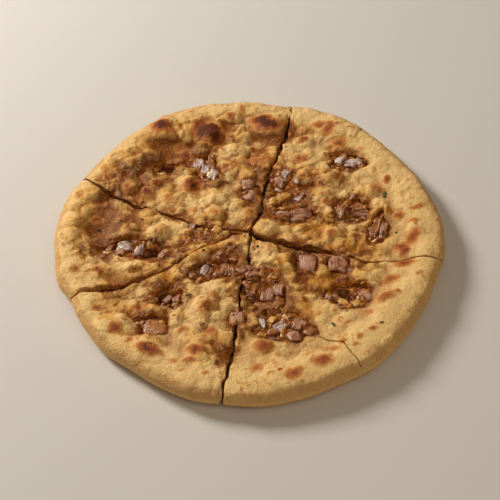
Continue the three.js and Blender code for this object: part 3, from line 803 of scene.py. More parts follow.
highest = 14.6
soft_top = 0.8
knee = highest - soft_top
dough = bpy.data.materials.new("baked dough")
x, y, z = points_of(bread)
top_share = smooth(0.5, 0.98, z / np.maximum(broad_top(x, y), 1))
calm = np.maximum(calmest * band_share(x, y), highest_of(calm_zones, x, y))
near_edge = smooth(0.0, 1.5, cut_distance(x, y) + 0.8)
set_attribute(bread, "bubbly", top_share * (1 - calm) * (0.5 + 0.5 * near_edge))
set_attribute(bread, "loose", top_share)
apply_tree(bread, bubbled, bubbled_inputs, {
    "Pillow size": 13.0 * MM, "Pillow height": 2.1 * MM, "Bubble size": 6.0 * MM, "Bubble height": 1.15 * MM,
    "Skin height": 0.9 * MM, "Sway height": 2.4 * MM, "Warp": 6 * MM, "Seed": 3.0, "Material": dough,
})
x, y, z = points_of(bread)
set_points(bread, x, y, np.where(z > knee, highest - soft_top * np.exp((knee - z) / soft_top), z))
print("highest point after bubbling:", round(float(points_of(bread)[2].max()), 2), "mm")

# %% [markdown]
# Oil runs into the hollows and the griddle browns the tops. The colours also paint shade into the hollows
# and a highlight onto the bubble tops, so they need to know what is high and what is low. A place is high
# if it stands above the average of what lies round it. The average comes from a height map of the top,
# blurred: a narrow blur finds the bubbles and a wide one the pillows.

# %% Height maps
map_half = 120
map_cell = 0.6
map_size = round(2 * map_half / map_cell)


def map_index(x, y):
    """Row and column of the map's cell under a point."""
    return tuple(np.clip(((v + map_half) / map_cell).astype(int), 0, map_size - 1) for v in (y, x))


def spread_out(grid, reach):
    steps = np.arange(-round(3 * reach / map_cell), round(3 * reach / map_cell) + 1)
    kernel = np.exp(-0.5 * (steps * map_cell / reach) ** 2)
    grid = np.stack([np.convolve(row, kernel, "same") for row in grid])
    return np.stack([np.convolve(column, kernel, "same") for column in grid.T], -1)


x, y, z = points_of(bread)
upper = top_share > 0.9
height_sum, height_count = np.zeros((2, map_size, map_size))
cells = map_index(x[upper], y[upper])
np.add.at(height_sum, cells, z[upper])
np.add.at(height_count, cells, 1)


def average_height(reach):
    return spread_out(height_sum, reach) / np.maximum(spread_out(height_count, reach), 1e-6)


near_map, bubble_map, pillow_map = [average_height(reach) for reach in (0.9, 2.2, 6.5)]
print("pillows stand up to", round(float((near_map - pillow_map)[height_count > 0].max()), 2), "mm")

# %% [markdown]
# ## Cutting and tearing
# The cuts are thin standing slabs and the tears are columns. Each is a stack of rings, so that its
# walls can waver up and down as well as along: a knife drags soft dough, it doesn't plane it. The
# pocket between the two crusts is a flat disc. One Boolean takes them all away.

# %% Cutting tools
slab_step = 1.6
thinnest_half = 0.2
ripple_reach = 7
column_rings = 9
column_points = 72
pocket_ring_step = 3
blister_hollow = 0.5
knife_roughness = [0.5, 0.25, 0.3, 0.45, 0.4]
crack_roughness = 0.1
tear_roughness = 0.02
knife_seed = 20
crack_seed = 40
tear_seed = 300


def ripple(rng, levels, count, size):
    """A smooth field of chance heights, as big as the stack of rings that it moves."""
    field = rng.standard_normal((levels + 2 * ripple_reach, count + 2 * ripple_reach))
    kernel = soft_kernel(ripple_reach)
    rows = np.stack([np.convolve(row, kernel, "valid") for row in field])
    field = np.stack([np.convolve(values, np.hanning(7), "same") for values in rows.T], -1)
    return size * field[ripple_reach:ripple_reach + levels] / field.std()


def slab(rows, wider, low, rough, seed):
    """A standing slab along a path, whose two sides waver by themselves."""
    path = dense_path(rows)
    rng = np.random.default_rng(seed)
    heights = np.linspace(low, above_bread, 1 + math.ceil((above_bread - low) / slab_step))
    way = np.gradient(path[:, :2], axis=0)
    way /= np.hypot(*way.T)[:, None]
    normal = np.stack([-way[:, 1], way[:, 0]], -1)
    half_gap = path[:, 2] / 2
    shift, widen = [ripple(rng, len(heights), len(path), size) * np.minimum(1, half_gap)
                    for size in (rough, rough * 0.6)]
    outlines = []
    for move, more in zip(shift, widen):
        half = np.maximum(half_gap + wider + more, thinnest_half)
        right, left = [path[:, :2] + normal * (move + side)[:, None] for side in (-half, half)]
        outlines.append(np.concatenate([right, left[::-1]]))
    return standing(outlines, heights)


def column(number, oval):
    """A standing column with a tear's outline."""
    angle = np.linspace(0, 2 * math.pi, column_points, endpoint=False)
    reach = tear_reach(number, angle)
    c, s = cos_sin(oval[4])
    along = oval[2] * reach * np.cos(angle)
    across = oval[3] * reach * np.sin(angle)
    out = np.stack([along * c - across * s, along * s + across * c], -1)
    heights = np.linspace(tear_floor, above_bread, column_rings)
    waves = ripple(np.random.default_rng(tear_seed + number), len(heights), len(angle), tear_roughness)
    return standing([out * (1 + wave)[:, None] + oval[:2] for wave in waves], heights)


def pocket_profile(edge, step):
    full = edge - pocket_taper
    rings = round(full / step)
    return [(full * k / rings, 1) for k in range(rings + 1)] + [(edge, 0.5), (full, 0)]


def pocket_top(x, y):
    """The underside of the top crust. The crust is thinner over its blisters."""
    plain = plain_top(x, y)
    return plain - crust_thickness + blister_hollow * (broad_top(x, y) - plain)


def place_pocket(x, y, share):
    low = crust_thickness
    return x, y, low + (pocket_top(x, y) - low) * share


def carve(made, tools):
    holder = bpy.data.collections.new("cutting tools")
    bpy.context.scene.collection.children.link(holder)
    for tool in tools:
        bpy.context.scene.collection.objects.unlink(tool)
        holder.objects.link(tool)
    modifier = made.modifiers.new("carve", "BOOLEAN")
    modifier.operation = "DIFFERENCE"
    modifier.solver = "MANIFOLD"
    modifier.operand_type = "COLLECTION"
    modifier.collection = holder
    settle(made)
    for tool in tools:
        bpy.data.objects.remove(tool)
    bpy.data.collections.remove(holder)


def knives(wider, roughness, seed):
    return [new_object("knife", *slab(rows, wider, below_bread, rough, seed + number))
            for number, (rows, rough) in enumerate(zip(cuts, roughness))]


carve(bread, knives(0, knife_roughness, knife_seed) + [
    *[new_object("tear", *column(number, oval)) for number, oval in enumerate(tears)],
    new_object("crack", *slab(crack, 0, crack_floor, crack_roughness, crack_seed)),
    new_object("pocket", *shaped_disc(pocket_profile(pocket_radius, pocket_ring_step), place_pocket)),
])
print("carved bread:", len(bread.data.polygons), "faces")

# %% [markdown]
# The knife has parted the bread into five loose bodies. Each becomes its own piece, named by the slice
# that it stands for, counted round from the first cut.

# %% Part the slices
def loose_parts(made):
    bpy.ops.object.select_all(action="DESELECT")
    bpy.context.view_layer.objects.active = made
    made.select_set(True)
    bpy.ops.mesh.separate(type="LOOSE")
    return sorted(bpy.context.selected_objects, key=lambda part: -len(part.data.vertices))


def turn_from_first_cut(part):
    x, y, _ = points_of(part)
    first = math.atan2(cuts[0][-1][1], cuts[0][-1][0])
    middle = math.atan2((y.min() + y.max()) / 2, (x.min() + x.max()) / 2)
    return (middle - first) % (2 * math.pi)


def five_pieces(made, name):
    parts = loose_parts(made)
    for scrap in parts[len(cuts):]:
        bpy.data.objects.remove(scrap)
    parts = sorted(parts[:len(cuts)], key=turn_from_first_cut)
    for number, part in enumerate(parts, 1):
        part.name = f"{name}_{number}"
        part.data.name = part.name
    return parts


slices = five_pieces(bread, "dough_slice")
print({piece.name: len(piece.data.polygons) for piece in slices})

# %% [markdown]
# ## Where the dough browns, and where shade is painted
# The browning and the painted shade follow the shape, so they are measured on the finished points and kept
# as attributes: how scorched a point is, whether it lies on a pillow or in a valley, how oily and shaded
# or how wet it is, whether it lies on the pale band, whether it is a cut face, and how low it lies on the
# outer wall, where shade is painted. The material then only has to give each its colour.

# %% Paint the dough's attributes
soak_reach = 6
wet_reach = 2.6
spot_halo = 1.7


def fading(distance, reach):
    """1 inside an edge, falling off outside it."""
    return np.exp(-np.maximum(distance, 0) / reach)


def paint_dough(piece):
    x, y, z = points_of(piece)
    top = broad_top(x, y)
    torn = tear_distance(x, y)
    cut = cut_distance(x, y)
    ragged = frayed(x, y, 0.45)
    spots = [row[5] * oval_weight(*ragged, row, spot_halo) ** 2 for row in browned]
    share = z / np.maximum(top, 1)
    ragged = frayed(x, y, 1.5)
    light = np.maximum(band_share(x, y), highest_of(dry, *ragged))
    beside_tear = fading(torn, wet_reach) * (1 - 0.5 * light * smooth(0, 1, torn))
    soaking = np.maximum(highest_of(wet, *ragged), beside_tear)
    # Oil stains and painted shade, from the oily and shaded zones and from the tears.
    oil_and_shade = (highest_of(soaked_and_shaded, *ragged) + 0.6 * fading(torn, soak_reach)) * (1 - 0.9 * light)
    below = top - z
    from_edge = edge_at(x, y) - np.hypot(x, y)
    on_rim = smooth(0, 4, from_edge - rim_nose * 0.5)
    wall = (1 - smooth(0.15, 0.5, cut)) * smooth(0.9, 2.0, below) * on_rim
    inner = (1 - smooth(0.0, 0.5, torn)) * smooth(1.2, 2.4, below)
    on_top = smooth(0.5, 0.75, share)
    at = map_index(x, y)
    paints = {
        "scorch": np.max(spots, axis=0) * on_top,
        "pillow": (near_map - pillow_map)[at] * on_top,
        "bubble": np.clip(z - bubble_map[at], -1.5, 1.5) * on_top,
        "soak": np.clip(oil_and_shade, 0, 1.2),
        "wet": soaking * smooth(0.5, 0.65, share),
        "yellow": highest_of(yellow, *ragged),
        "pale": light,
        "cut_face": np.clip(wall + inner, 0, 1),
        # Painted shade: the outer wall gets darker towards its foot.
        "low": smooth(0.65, 0.1, share) * smooth(12, 4, from_edge),
    }
    for name, values in paints.items():
        set_attribute(piece, name, values)


for piece in slices:
    paint_dough(piece)
    piece.data.shade_smooth()
    piece.data.set_sharp_from_angle(angle=math.radians(52))
print("attributes:", [layer.name for layer in slices[0].data.attributes if layer.data_type == "FLOAT"])

# %% [markdown]
# ## Colours
# Colours are written by their screen values, two hexadecimal digits each for red, green and blue, and
# turned into the linear light that Blender works in. Three more helpers start a material, lay colours
# over each other and let the light glow a little under the surface.

# %% Colour and material helpers
def colour(code):
    screen = [int(code[i:i + 2], 16) / 255 for i in (0, 2, 4)]
    linear = [v / 12.92 if v <= 0.04045 else ((v + 0.055) / 1.055) ** 2.4 for v in screen]
    return (*linear, 1)


def shader(material):
    """A recipe, its surface node and the place on the piece."""
    material.use_nodes = True
    tree = material.node_tree
    tree.nodes.clear()
    surface = tree.nodes.new("ShaderNodeBsdfPrincipled")
    target = tree.nodes.new("ShaderNodeOutputMaterial")
    tree.links.new(surface.outputs[0], target.inputs[0])
    recipe = Recipe(tree)
    return recipe, surface, recipe.node("ShaderNodeTexCoord", {}, {}, "Object")


def layered(recipe, base, layers):
    """Lays colours over a base, each through its own mask."""
    for mask, tone in layers:
        base = recipe.mix(mask, base, colour(tone) if isinstance(tone, str) else tone)
    return base


def glow(weight, green, blue, depth):
    """Light that enters the surface and comes out again nearby, red light deepest."""
    return {"Subsurface Weight": weight, "Subsurface Radius": (1.0, green, blue),
            "Subsurface Scale": depth * MM}


print("cream is", [round(v, 2) for v in colour("E6C48C")[:3]])

# %% [markdown]
# The browns of the filling come first, because the crust borrows them where it is soaked through. So a
# wet crust passes into the filling without a seam. A list of layers reads from the bottom up: each row
# is a mask and the colour that it lays over what is there.

# %% Browns of the filling
def mash_tone(recipe, place):
    lumps_at = recipe.noise(place, 3.0, detail=3, roughness=0.6)
    fine = recipe.noise(place, 0.9, detail=3, roughness=0.6) - 0.5
    return layered(recipe, colour("70340A"), [
        (recipe.smooth(0.34, 0.54, lumps_at), "9C5418"),
        (recipe.smooth(0.5, 0.68, lumps_at + fine * 0.4), "C48434"),
        (recipe.smooth(0.1, 0.26, fine) * 0.5, "3A1402"),
    ])


print("the darkest brown is", [round(v, 3) for v in colour("3A1402")[:3]])

# %% [markdown]
# ## Baked dough
# Griddle bread is cream where it never touched the iron, gold where it came close, and red-brown to
# nearly black on the bubbles that lay on it. A spot isn't a disc: its edge breaks up into the grain of
# the dough. So noise is added to each mask before it is made into a colour. Fat makes the middle
# smoother and a little glossy, while the rim stays dry and floury, with a few faint freckles. Painted
# shade darkens the valleys, the dimples and the foot of the outer wall, and a painted highlight
# lightens the bubble tops.

# %% Material of the dough
def dough_recipe(material):
    recipe, surface, place = shader(material)
    smooth_mask, attribute = recipe.smooth, recipe.attribute
    grain = recipe.noise(place, 1.1, detail=4, roughness=0.7) - 0.5
    mottle = recipe.noise(place, 4.0, detail=4, roughness=0.6) - 0.5
    patch = recipe.noise(place, 17, detail=3) - 0.5
    dab = recipe.noise(place, 6.5, detail=2) - 0.5
    fleck = recipe.noise(place, 4.6, detail=2) - 0.5
    pillow, bubble, soak, spot = map(attribute, ("pillow", "bubble", "soak", "scorch"))
    pale = smooth_mask(0.15, 0.85, attribute("pale") + patch * 0.9 + mottle * 0.5)
    warm = smooth_mask(0.0, 0.26, patch + mottle * 0.8)
    # Oil stains, with painted shade where those zones lie in shadow.
    oily_and_shaded = smooth_mask(0.2, 0.9, soak + mottle * 0.7 - pillow * 0.3)
    steeped_and_shaded = smooth_mask(0.5, 1.05, soak + mottle * 0.8 - pillow * 0.35)
    # Painted shade in the valleys between pillows and the dimples between bubbles, with some oil.
    valley = smooth_mask(0.1, -0.9, pillow + mottle * 0.7)
    dimple = smooth_mask(0.0, -0.35, bubble + grain * 0.4)
    bright = smooth_mask(0.3, 0.9, attribute("yellow") + mottle * 0.9 + oily_and_shaded * 0.25)
    # Painted highlight: the bubble tops are made lighter.
    crest = smooth_mask(0.05, 0.4, bubble + grain * 0.5)
    kissed = smooth_mask(0.05, 0.3, bubble + grain * 0.4) * smooth_mask(0.06, 0.16, dab)
    soaking = smooth_mask(0.35, 0.85, attribute("wet") + mottle * 0.9 + grain * 0.4)
    dusty = 1 - soaking
    scorch = spot + (mottle * 0.55 + grain * 0.45) * smooth_mask(0.02, 0.3, spot)
    base = layered(recipe, colour("DEA658"), [
        (pale, "EEC480"),
        (warm * (0.5 - pale * 0.3), "D0903E"),
        # Oil stains with painted shade.
        (oily_and_shaded * 0.85, "A05C12"),
        (steeped_and_shaded * 0.85, "642C02"),
        # Painted shade in the valleys and dimples.
        (valley * (0.7 - pale * 0.5), "823E04"),
        (dimple * (0.5 - pale * 0.25), "9C540A"),
        (bright * 0.6, "DE9420"),
        # Painted highlight on the bubble tops.
        (crest * (0.34 - oily_and_shaded * 0.2), "F2CA80"),
        (kissed * 0.75, "C06C28"),
        (kissed * smooth_mask(0.14, 0.26, dab) * 0.7, "903E14"),
        (soaking * 0.85, mash_tone(recipe, place)),
        (smooth_mask(0.02, 0.22, grain) * (0.26 + pale * 0.16) * dusty, "FFEECA"),
        (smooth_mask(-0.04, -0.22, grain) * 0.4, "A86018"),
        (smooth_mask(0.13, 0.2, fleck + grain * 0.12) * pale * dusty * 0.55, "CC8238"),
        (smooth_mask(0.02, 0.24, scorch) * 0.75, "D08E46"),
        (smooth_mask(0.16, 0.45, scorch) * 0.8, "B86A34"),
        (smooth_mask(0.4, 0.7, scorch) * 0.85, "944420"),
        (smooth_mask(0.66, 0.92, scorch) * 0.9, "501A04"),
        (attribute("cut_face") * 0.7, "B98040"),
        # Painted shade at the foot of the outer wall.
        (attribute("low") * 0.6, "B8762E"),
    ])
    ripples = recipe.noise(place, 2.4, detail=5, roughness=0.65)
    pores = recipe.noise(place, 0.8, detail=3)
    recipe.fill(surface, {
        "Base Color": base,
        "Roughness": 0.7 - oily_and_shaded * 0.3 - soaking * 0.25 + grain * 0.3,
        "Normal": recipe.bump(0.9, 1.1, ripples * 0.8 + pores * 0.5),
        "Specular IOR Level": 0.42,
        "Specular Tint": (1.0, 0.8, 0.48, 1.0),
        "IOR": 1.45,
        **glow(0.08, 0.5, 0.25, 1.5),
    })


dough_recipe(dough)
print("dough material:", len(dough.node_tree.nodes), "nodes")

# %% [markdown]
# ## Filling
# Between the crusts lies a mash of onion cooked soft in spice and oil. It is one body with the pocket's
# form, raised inside each tear up to just under the crust, and hollowed where it has sunk. The same
# tree that bubbled the crust gives it lumps, only finer and rougher.

# %% Body of the mash
mash_step = 0.75
mash_rise = 1.5
thinnest_mash = 0.6
mash_draw_back = 0.05
mash_roughness = 0.4
mash_seed = 60


def inside_tear(x, y, inset, width):
    return smooth(-inset, -inset - width, tear_distance(x, y))


def sunk_at(x, y):
    return sum(pit_depth * dome(oval_weight(x, y, row)) for row in pits)


def mash_top(x, y):
    high = pocket_top(x, y) - gap + mash_rise * inside_tear(x, y, 0.1, 1.2)
    return np.maximum(high - sunk_at(x, y), crust_thickness + gap + thinnest_mash)


def place_mash(x, y, share):
    low = crust_thickness + gap
    return x, y, low + (mash_top(x, y) - low) * share


mash_body = new_object("mash", *shaped_disc(pocket_profile(pocket_radius - gap, mash_step), place_mash))
mash = bpy.data.materials.new("spiced onion mash")
x, y, z = points_of(mash_body)
set_attribute(mash_body, "bubbly", smooth(3.2, 4, z) * inside_tear(x, y, -0.5, 1.5))
set_attribute(mash_body, "loose", np.zeros(len(x)))
apply_tree(mash_body, bubbled, bubbled_inputs, {
    "Pillow size": 5.5 * MM, "Pillow height": 1.5 * MM, "Bubble size": 3.2 * MM, "Bubble height": 0.8 * MM,
    "Skin height": 0.5 * MM, "Sway height": 0.0, "Warp": 4 * MM, "Seed": 8.0, "Material": mash,
})
carve(mash_body, knives(mash_draw_back, [mash_roughness] * len(cuts), mash_seed))
mash_pieces = five_pieces(mash_body, "filling_mash")
for piece in mash_pieces:
    x, y, z = points_of(piece)
    sunk = smooth(0.5, 2, sunk_at(x, y))
    set_attribute(piece, "wet", inside_tear(x, y, -0.2, 0.8) * smooth(3, 4, z) * (1 - 0.85 * sunk))
    # Painted shade: the mash gets darker low down in the gaps and in the sunk pits.
    set_attribute(piece, "depth", np.maximum(smooth(7, 2.5, z), 0.75 * sunk))
    piece.data.shade_smooth()
print({piece.name: len(piece.data.polygons) for piece in mash_pieces})

# %% [markdown]
# The mash is wet, so its gloss matters as much as its colour: it is smooth enough to glint, and a fine
# noise breaks the glints up. The brown runs from amber high up to nearly black low down in the gaps and
# pits, which is painted shade.

# %% Material of the mash
def mash_recipe(material):
    recipe, surface, place = shader(material)
    lumps_at = recipe.noise(place, 3.2, detail=3, roughness=0.6)
    fine = recipe.noise(place, 0.9, detail=3, roughness=0.6) - 0.5
    recipe.fill(surface, {
        "Base Color": layered(recipe, mash_tone(recipe, place), [
            # Painted shade, darker low in the gaps and pits.
            (recipe.attribute("depth") * 0.8, "4C1C06"),
        ]),
        "Roughness": 0.2 + fine * 0.3,
        "Normal": recipe.bump(0.6, 0.5, lumps_at + fine * 0.6),
        "Specular IOR Level": 0.55,
        "Specular Tint": (1.0, 0.84, 0.58, 1.0),
        **glow(0.1, 0.4, 0.2, 1.5),
    })


mash_recipe(mash)
print("mash material:", len(mash.node_tree.nodes), "nodes")

# %% [markdown]
# ## Onion pieces
# A chopped onion falls apart into curved leaves, and a dice of it is a few leaves side by side. From
# above their edges show as ribs. Each piece is a rounded block whose upper side is ribbed along its
# length and whose ends bend down. The kinds differ in colour: onion turns from white to rosy, gold and
# brown as it cooks. A row is x, y, length, width, turn, kind, number of ribs.

# %% Where the onion pieces lie
onions = [
    (-28.5, 60, 9, 5, 62, "white", 4), (-24, 55.5, 7, 5, 80, "white", 3),
    (-19.5, 50, 8.5, 5, 62, "white", 4), (-21, 61.5, 7, 3, 70, "rosy", 2),
    (-32, 55, 4.5, 3.5, 40, "gold", 0), (2, 32, 10.5, 6.6, -25, "rosy", 0),
    (1, 40, 8, 6, 10, "rosy", 2), (-70, -2.5, 8, 6.6, 15, "white", 4),
    (-62, -5, 8.4, 5, 78, "white", 4), (-79, -2, 7.6, 3.4, 80, "brown", 2),
    (-73, -7, 5, 3.6, 0, "rosy", 0), (-49, -10, 6, 3.4, 60, "rosy", 2),
    (-46, -40.4, 6.4, 3, 50, "rosy", 2), (-52, -41, 7, 3, 80, "brown", 2),
    (-41, -41, 8, 3, 78, "rosy", 2), (-53, -61, 14.6, 10.4, 12, "brown", 0),
    (-25.6, -21, 9.4, 4, 72, "white", 3), (-12.4, -24, 8.6, 7.4, 80, "brown", 3),
    (-18, -25, 8, 4.6, 74, "brown", 3), (-33, -25.4, 6, 4.6, 20, "brown", 2),
    (-8.4, -58, 9, 6.4, 84, "rosy", 0), (1.6, -27, 8.6, 5, 22, "rosy", 2),
    (8.4, -41.6, 9, 6.6, 76, "rosy", 5), (14.6, -38.6, 8, 4.6, 84, "rosy", 3),
    (0, -39, 8.6, 4.6, 86, "brown", 3), (6.6, -49.6, 11.6, 5, 10, "brown", 3),
    (3.4, -60, 10, 7.4, 80, "white", 5), (10.4, -58.6, 5, 3.4, 50, "gold", 0),
    (15.4, -64.4, 9.4, 6, 22, "white", 4), (24.4, -63.4, 9, 5, 68, "rosy", 4),
    (21.6, -71.6, 7, 5.4, 10, "rosy", 0), (10.4, -68, 7, 4, -10, "brown", 2),
    (30, -68.6, 5, 4, 60, "brown", 0), (31.8, -21.4, 12, 8.6, 84, "rosy", 0),
    (48.6, -23, 10.6, 9, 86, "rosy", 0), (49.6, -48, 11, 3.4, -52, "gold", 2),
    (57, -51, 6, 4.6, 20, "gold", 2), (61.6, -45.6, 7.4, 6.6, 0, "rosy", 0),
    (44.6, -42.6, 9, 4, -40, "brown", 3), (62.4, 55, 7.6, 6, -12, "white", 3),
    (55.4, 57.4, 5.6, 3.4, 70, "white", 0), (67, 55.6, 5.4, 4, 60, "white", 2),
    (22, 46, 9, 4, 64, "white", 3), (19.4, 41.4, 8, 3.8, 70, "rosy", 2),
    (20.4, 29.4, 12.4, 4, 26, "gold", 2), (15.4, 27, 8, 5.4, 10, "gold", 2),
    (30.4, 31.4, 9.4, 4, 66, "white", 3), (20, 16.8, 8, 3.6, -4, "rosy", 2),
    (31, 16.4, 11, 4.6, -6, "rosy", 3), (28, 12.8, 9, 3, 2, "rosy", 2),
    (53.4, 17.8, 12, 5, 64, "brown", 4), (64, 20.6, 9, 4.8, 8, "brown", 4),
    (65, 14.6, 10, 3.4, 12, "rosy", 3), (71.8, 2.6, 17, 4, 70, "brown", 4),
    (76, 1, 15, 3.6, 75, "rosy", 3), (-6.5, -2.6, 12, 5.6, 14, "brown", 0),
    (-32, 9.6, 6, 3.4, 80, "white", 2), (-18.6, 6.2, 6, 4.4, 40, "gold", 0),
    (-27, -2, 8, 4, 20, "brown", 2), (8, 53, 4.4, 3.6, 0, "white", 0),
    (-15, -73, 8, 3, 16, "white", 0), (-3.4, -24.4, 8, 4.4, 24, "rosy", 0),
    (-10, -9, 9, 6, 30, "brown", 2), (-37, -23, 6, 4, -20, "brown", 2),
    (40, -18, 8, 5, 0, "brown", 3), (14, -48, 8, 4, 50, "brown", 3),
]
kinds = sorted({row[5] for row in onions})
print(len(onions), "onion pieces of the kinds", kinds)

# %% [markdown]
# One leaf is a tube of squarish rings along its length, cut straight at both ends, and stands on its
# edge. A piece is a few of them side by side, each a little longer, higher or more tilted than the next,
# as the knife left them. A piece without ribs is a single broad leaf. The cut is seldom square, so the
# piece is sheared and one end is narrower. Two values are kept for the material: how high a point lies
# on its leaf, and where it lies across the leaf, which is how the fibres run.

# %% Builder of an onion piece
onion_depth = 4.2
leaf_thickness = 1.3
leaf_overlap = 1.2
leaf_ends = [(-1, 0.84), (-0.97, 0.95), (-0.85, 1), (-0.45, 1), (0, 1), (0.45, 1), (0.85, 1), (0.97, 0.95),
             (1, 0.84)]
squareness = 0.4
section = np.linspace(0, 2 * math.pi, 16, endpoint=False)
section_across, section_up = [np.sign(wave) * np.abs(wave) ** squareness
                              for wave in (np.cos(section), np.sin(section))]


def onion_leaf(length, thickness, bend, arch):
    rings = []
    for place, spread in leaf_ends:
        across = section_across * spread * thickness / 2 + bend * place**2
        up = onion_depth / 2 * (section_up * spread - 1) - arch * place**2
        rings.append(ring_at(place * length / 2, across, up))
    return tube(rings)


def turned(points, turn, tilt, roll):
    matrix = Matrix.Rotation(turn, 3, "Z") @ Matrix.Rotation(tilt, 3, "X") @ Matrix.Rotation(roll, 3, "Y")
    return points @ np.array(matrix).T


def joined(parts):
    """Puts bodies together. Each is points, faces and the values that its points carry."""
    points, faces, values, start = [], [], [], 0
    for some_points, some_faces, some_values in parts:
        points.append(some_points)
        faces += [[start + corner for corner in face] for face in some_faces]
        values.append(some_values)
        start += len(some_points)
    return np.concatenate(points), faces, np.concatenate(values)


def onion_piece(length, width, ribs, rng):
    leaves = max(2, round(width / leaf_thickness)) if ribs else 1
    thickness = width / leaves
    bend = rng.uniform(-0.06, 0.06) * length
    arch = rng.uniform(0.3, 1.0)
    shear, narrowing = rng.uniform(-0.3, 0.3), rng.uniform(-0.16, 0.16)
    parts = []
    for number in range(leaves):
        middle = (number + 0.5) * thickness - width / 2
        side = 2 * middle / width
        own_length = length * rng.uniform(0.86, 1.02) * (1 - 0.12 * side * side)
        points, faces = onion_leaf(own_length, thickness * leaf_overlap, bend, arch)
        height_share = np.clip(1 + points[:, 2] / onion_depth, 0, 1)
        values = np.stack([height_share, points[:, 1] + 20 * rng.random()], -1)
        points = turned(points, 0, rng.uniform(-0.04, 0.04) - 0.2 * side, rng.uniform(-0.05, 0.05))
        lift = rng.uniform(-0.2, 0.08) if ribs else 0
        parts.append((points + (rng.uniform(-0.4, 0.4), middle, lift), faces, values))
    points, faces, values = joined(parts)
    points[:, 1] *= 1 + narrowing * points[:, 0] / (length / 2)
    points[:, 0] += shear * points[:, 1]
    for wave in range(3):
        along, turn = rng.uniform(0.5, 1.1), rng.uniform(0, 2 * math.pi)
        phase = along * (points[:, 0] * math.cos(turn) + points[:, 1] * math.sin(turn)) + rng.uniform(0, 6)
        points += np.outer(np.sin(phase), rng.uniform(-0.45, 0.45, 3))
    return points, faces, values


onion_lift = (0.0, 0.9)
onion_lean = 0.18
onion_sinking = 0.55
onion_parts = {kind: [] for kind in kinds}
rng = np.random.default_rng(5)
for x, y, length, width, turn, kind, ribs in onions:
    points, faces, values = onion_piece(length, width, ribs, rng)
    height = float(plain_top(x, y) - onion_sinking * sunk_at(x, y)) + rng.uniform(*onion_lift)
    points = turned(points, math.radians(turn), *rng.uniform(-onion_lean, onion_lean, 2)) + (x, y, height)
    onion_parts[kind].append((points, faces, values))
print({kind: len(parts) for kind, parts in onion_parts.items()})

# %% [markdown]
# Between the large pieces lie chopped bits of onion. There are hundreds of them, so they are scattered
# by Geometry Nodes: points over the faces that show, dense where they are wettest, and a small block on
# each point, turned and sized by chance with a fixed seed. The bed for the points is an open sheet of
# just those faces of the mash and of the wet crust.

# %% Tree and bed of the scatter
def scatter_tree():
    tree, recipe, given, identifiers = new_tree("chopped onion", [
        ("Bit", "NodeSocketObject", None), ("Density", "NodeSocketFloat", 1e5),
        ("Smallest", "NodeSocketVector", (0.4, 0.4, 0.4)), ("Largest", "NodeSocketVector", (1, 1, 1)),
        ("Seed", "NodeSocketInt", 1), ("Material", "NodeSocketMaterial", None),
    ])
    dense = recipe.smooth(0.45, 0.9, recipe.painted("wet")) * given["Density"]
    points = recipe.node("GeometryNodeDistributePointsOnFaces", {}, {
        "Mesh": given["Geometry"], "Density": dense, "Seed": given["Seed"]})
    bit = recipe.node("GeometryNodeObjectInfo", {}, {"Object": given["Bit"]}, "Geometry")

    def chance(low, high):
        return recipe.node("FunctionNodeRandomValue", {"data_type": "FLOAT_VECTOR"}, {
            "Min": low, "Max": high, "Seed": given["Seed"]})

    laid = recipe.node("GeometryNodeInstanceOnPoints", {}, {
        "Points": points, "Instance": bit, "Scale": chance(given["Smallest"], given["Largest"]),
        "Rotation": chance((-0.4, -0.4, 0.0), (0.4, 0.4, 2 * math.pi))})
    end_tree(recipe, laid, given["Material"])
    return tree, identifiers


def showing_faces(pieces):
    """Points, triangles and wetness of the faces that are wet and look up, of several pieces."""
    parts = []
    for piece in pieces:
        mesh = piece.data
        mesh.calc_loop_triangles()
        corners = np.empty(3 * len(mesh.loop_triangles), np.int32)
        mesh.loop_triangles.foreach_get("vertices", corners)
        corners = corners.reshape(-1, 3)
        points = np.stack(points_of(piece), -1)
        wetness = read_attribute(piece, "wet")
        corners = corners[(wetness[corners] > 0.02).all(1)]
        sides = points[corners[:, 1:]] - points[corners[:, :1]]
        normals = np.cross(sides[:, 0], sides[:, 1])
        corners = corners[normals[:, 2] > 0.5 * np.linalg.norm(normals, axis=1)]
        used, index = np.unique(corners, return_inverse=True)
        parts.append((points[used], index.reshape(-1, 3).tolist(), wetness[used]))
    return joined(parts)


bed_points, bed_faces, bed_wetness = showing_faces(slices + mash_pieces)
print("faces to scatter over:", len(bed_faces))

# %% [markdown]
# The small block is a low tube with an uneven outline. Brown bits are the most common, because most of
# the onion has cooked down. The bits of one kind are joined with its large pieces to a single mesh.

# %% Chopped onion of each kind
bit_rings = [(-0.8, 0.8), (-0.1, 1), (0.2, 0.9), (0.38, 0.6)]
bit_outline = np.array([
    (1.7, 0.3), (1.2, 0.9), (0.1, 1.05), (-1.3, 0.8), (-1.8, 0.1), (-1.2, -0.9), (0.3, -1.1), (1.4, -0.7)])
bit_density = {"white": 0.004, "rosy": 0.016, "brown": 0.04, "gold": 0.016}
bit_height_share = 0.7


def scattered_bits(kind, seed):
    """Points, faces and values of the bits of one kind."""
    bed = new_object("bed", bed_points, bed_faces)
    set_attribute(bed, "wet", bed_wetness)
    apply_tree(bed, chopped, chopped_inputs, {
        "Bit": bit, "Density": bit_density[kind] / MM**2, "Smallest": (0.5, 0.5, 0.8),
        "Largest": (1.7, 1.6, 1.5), "Seed": seed, "Material": onion_materials[kind]})
    points = np.stack(points_of(bed), -1)
    values = np.stack([np.full(len(points), bit_height_share), points[:, 0] + points[:, 1]], -1)
    faces = [list(face.vertices) for face in bed.data.polygons]
    bpy.data.objects.remove(bed)
    return points, faces, values


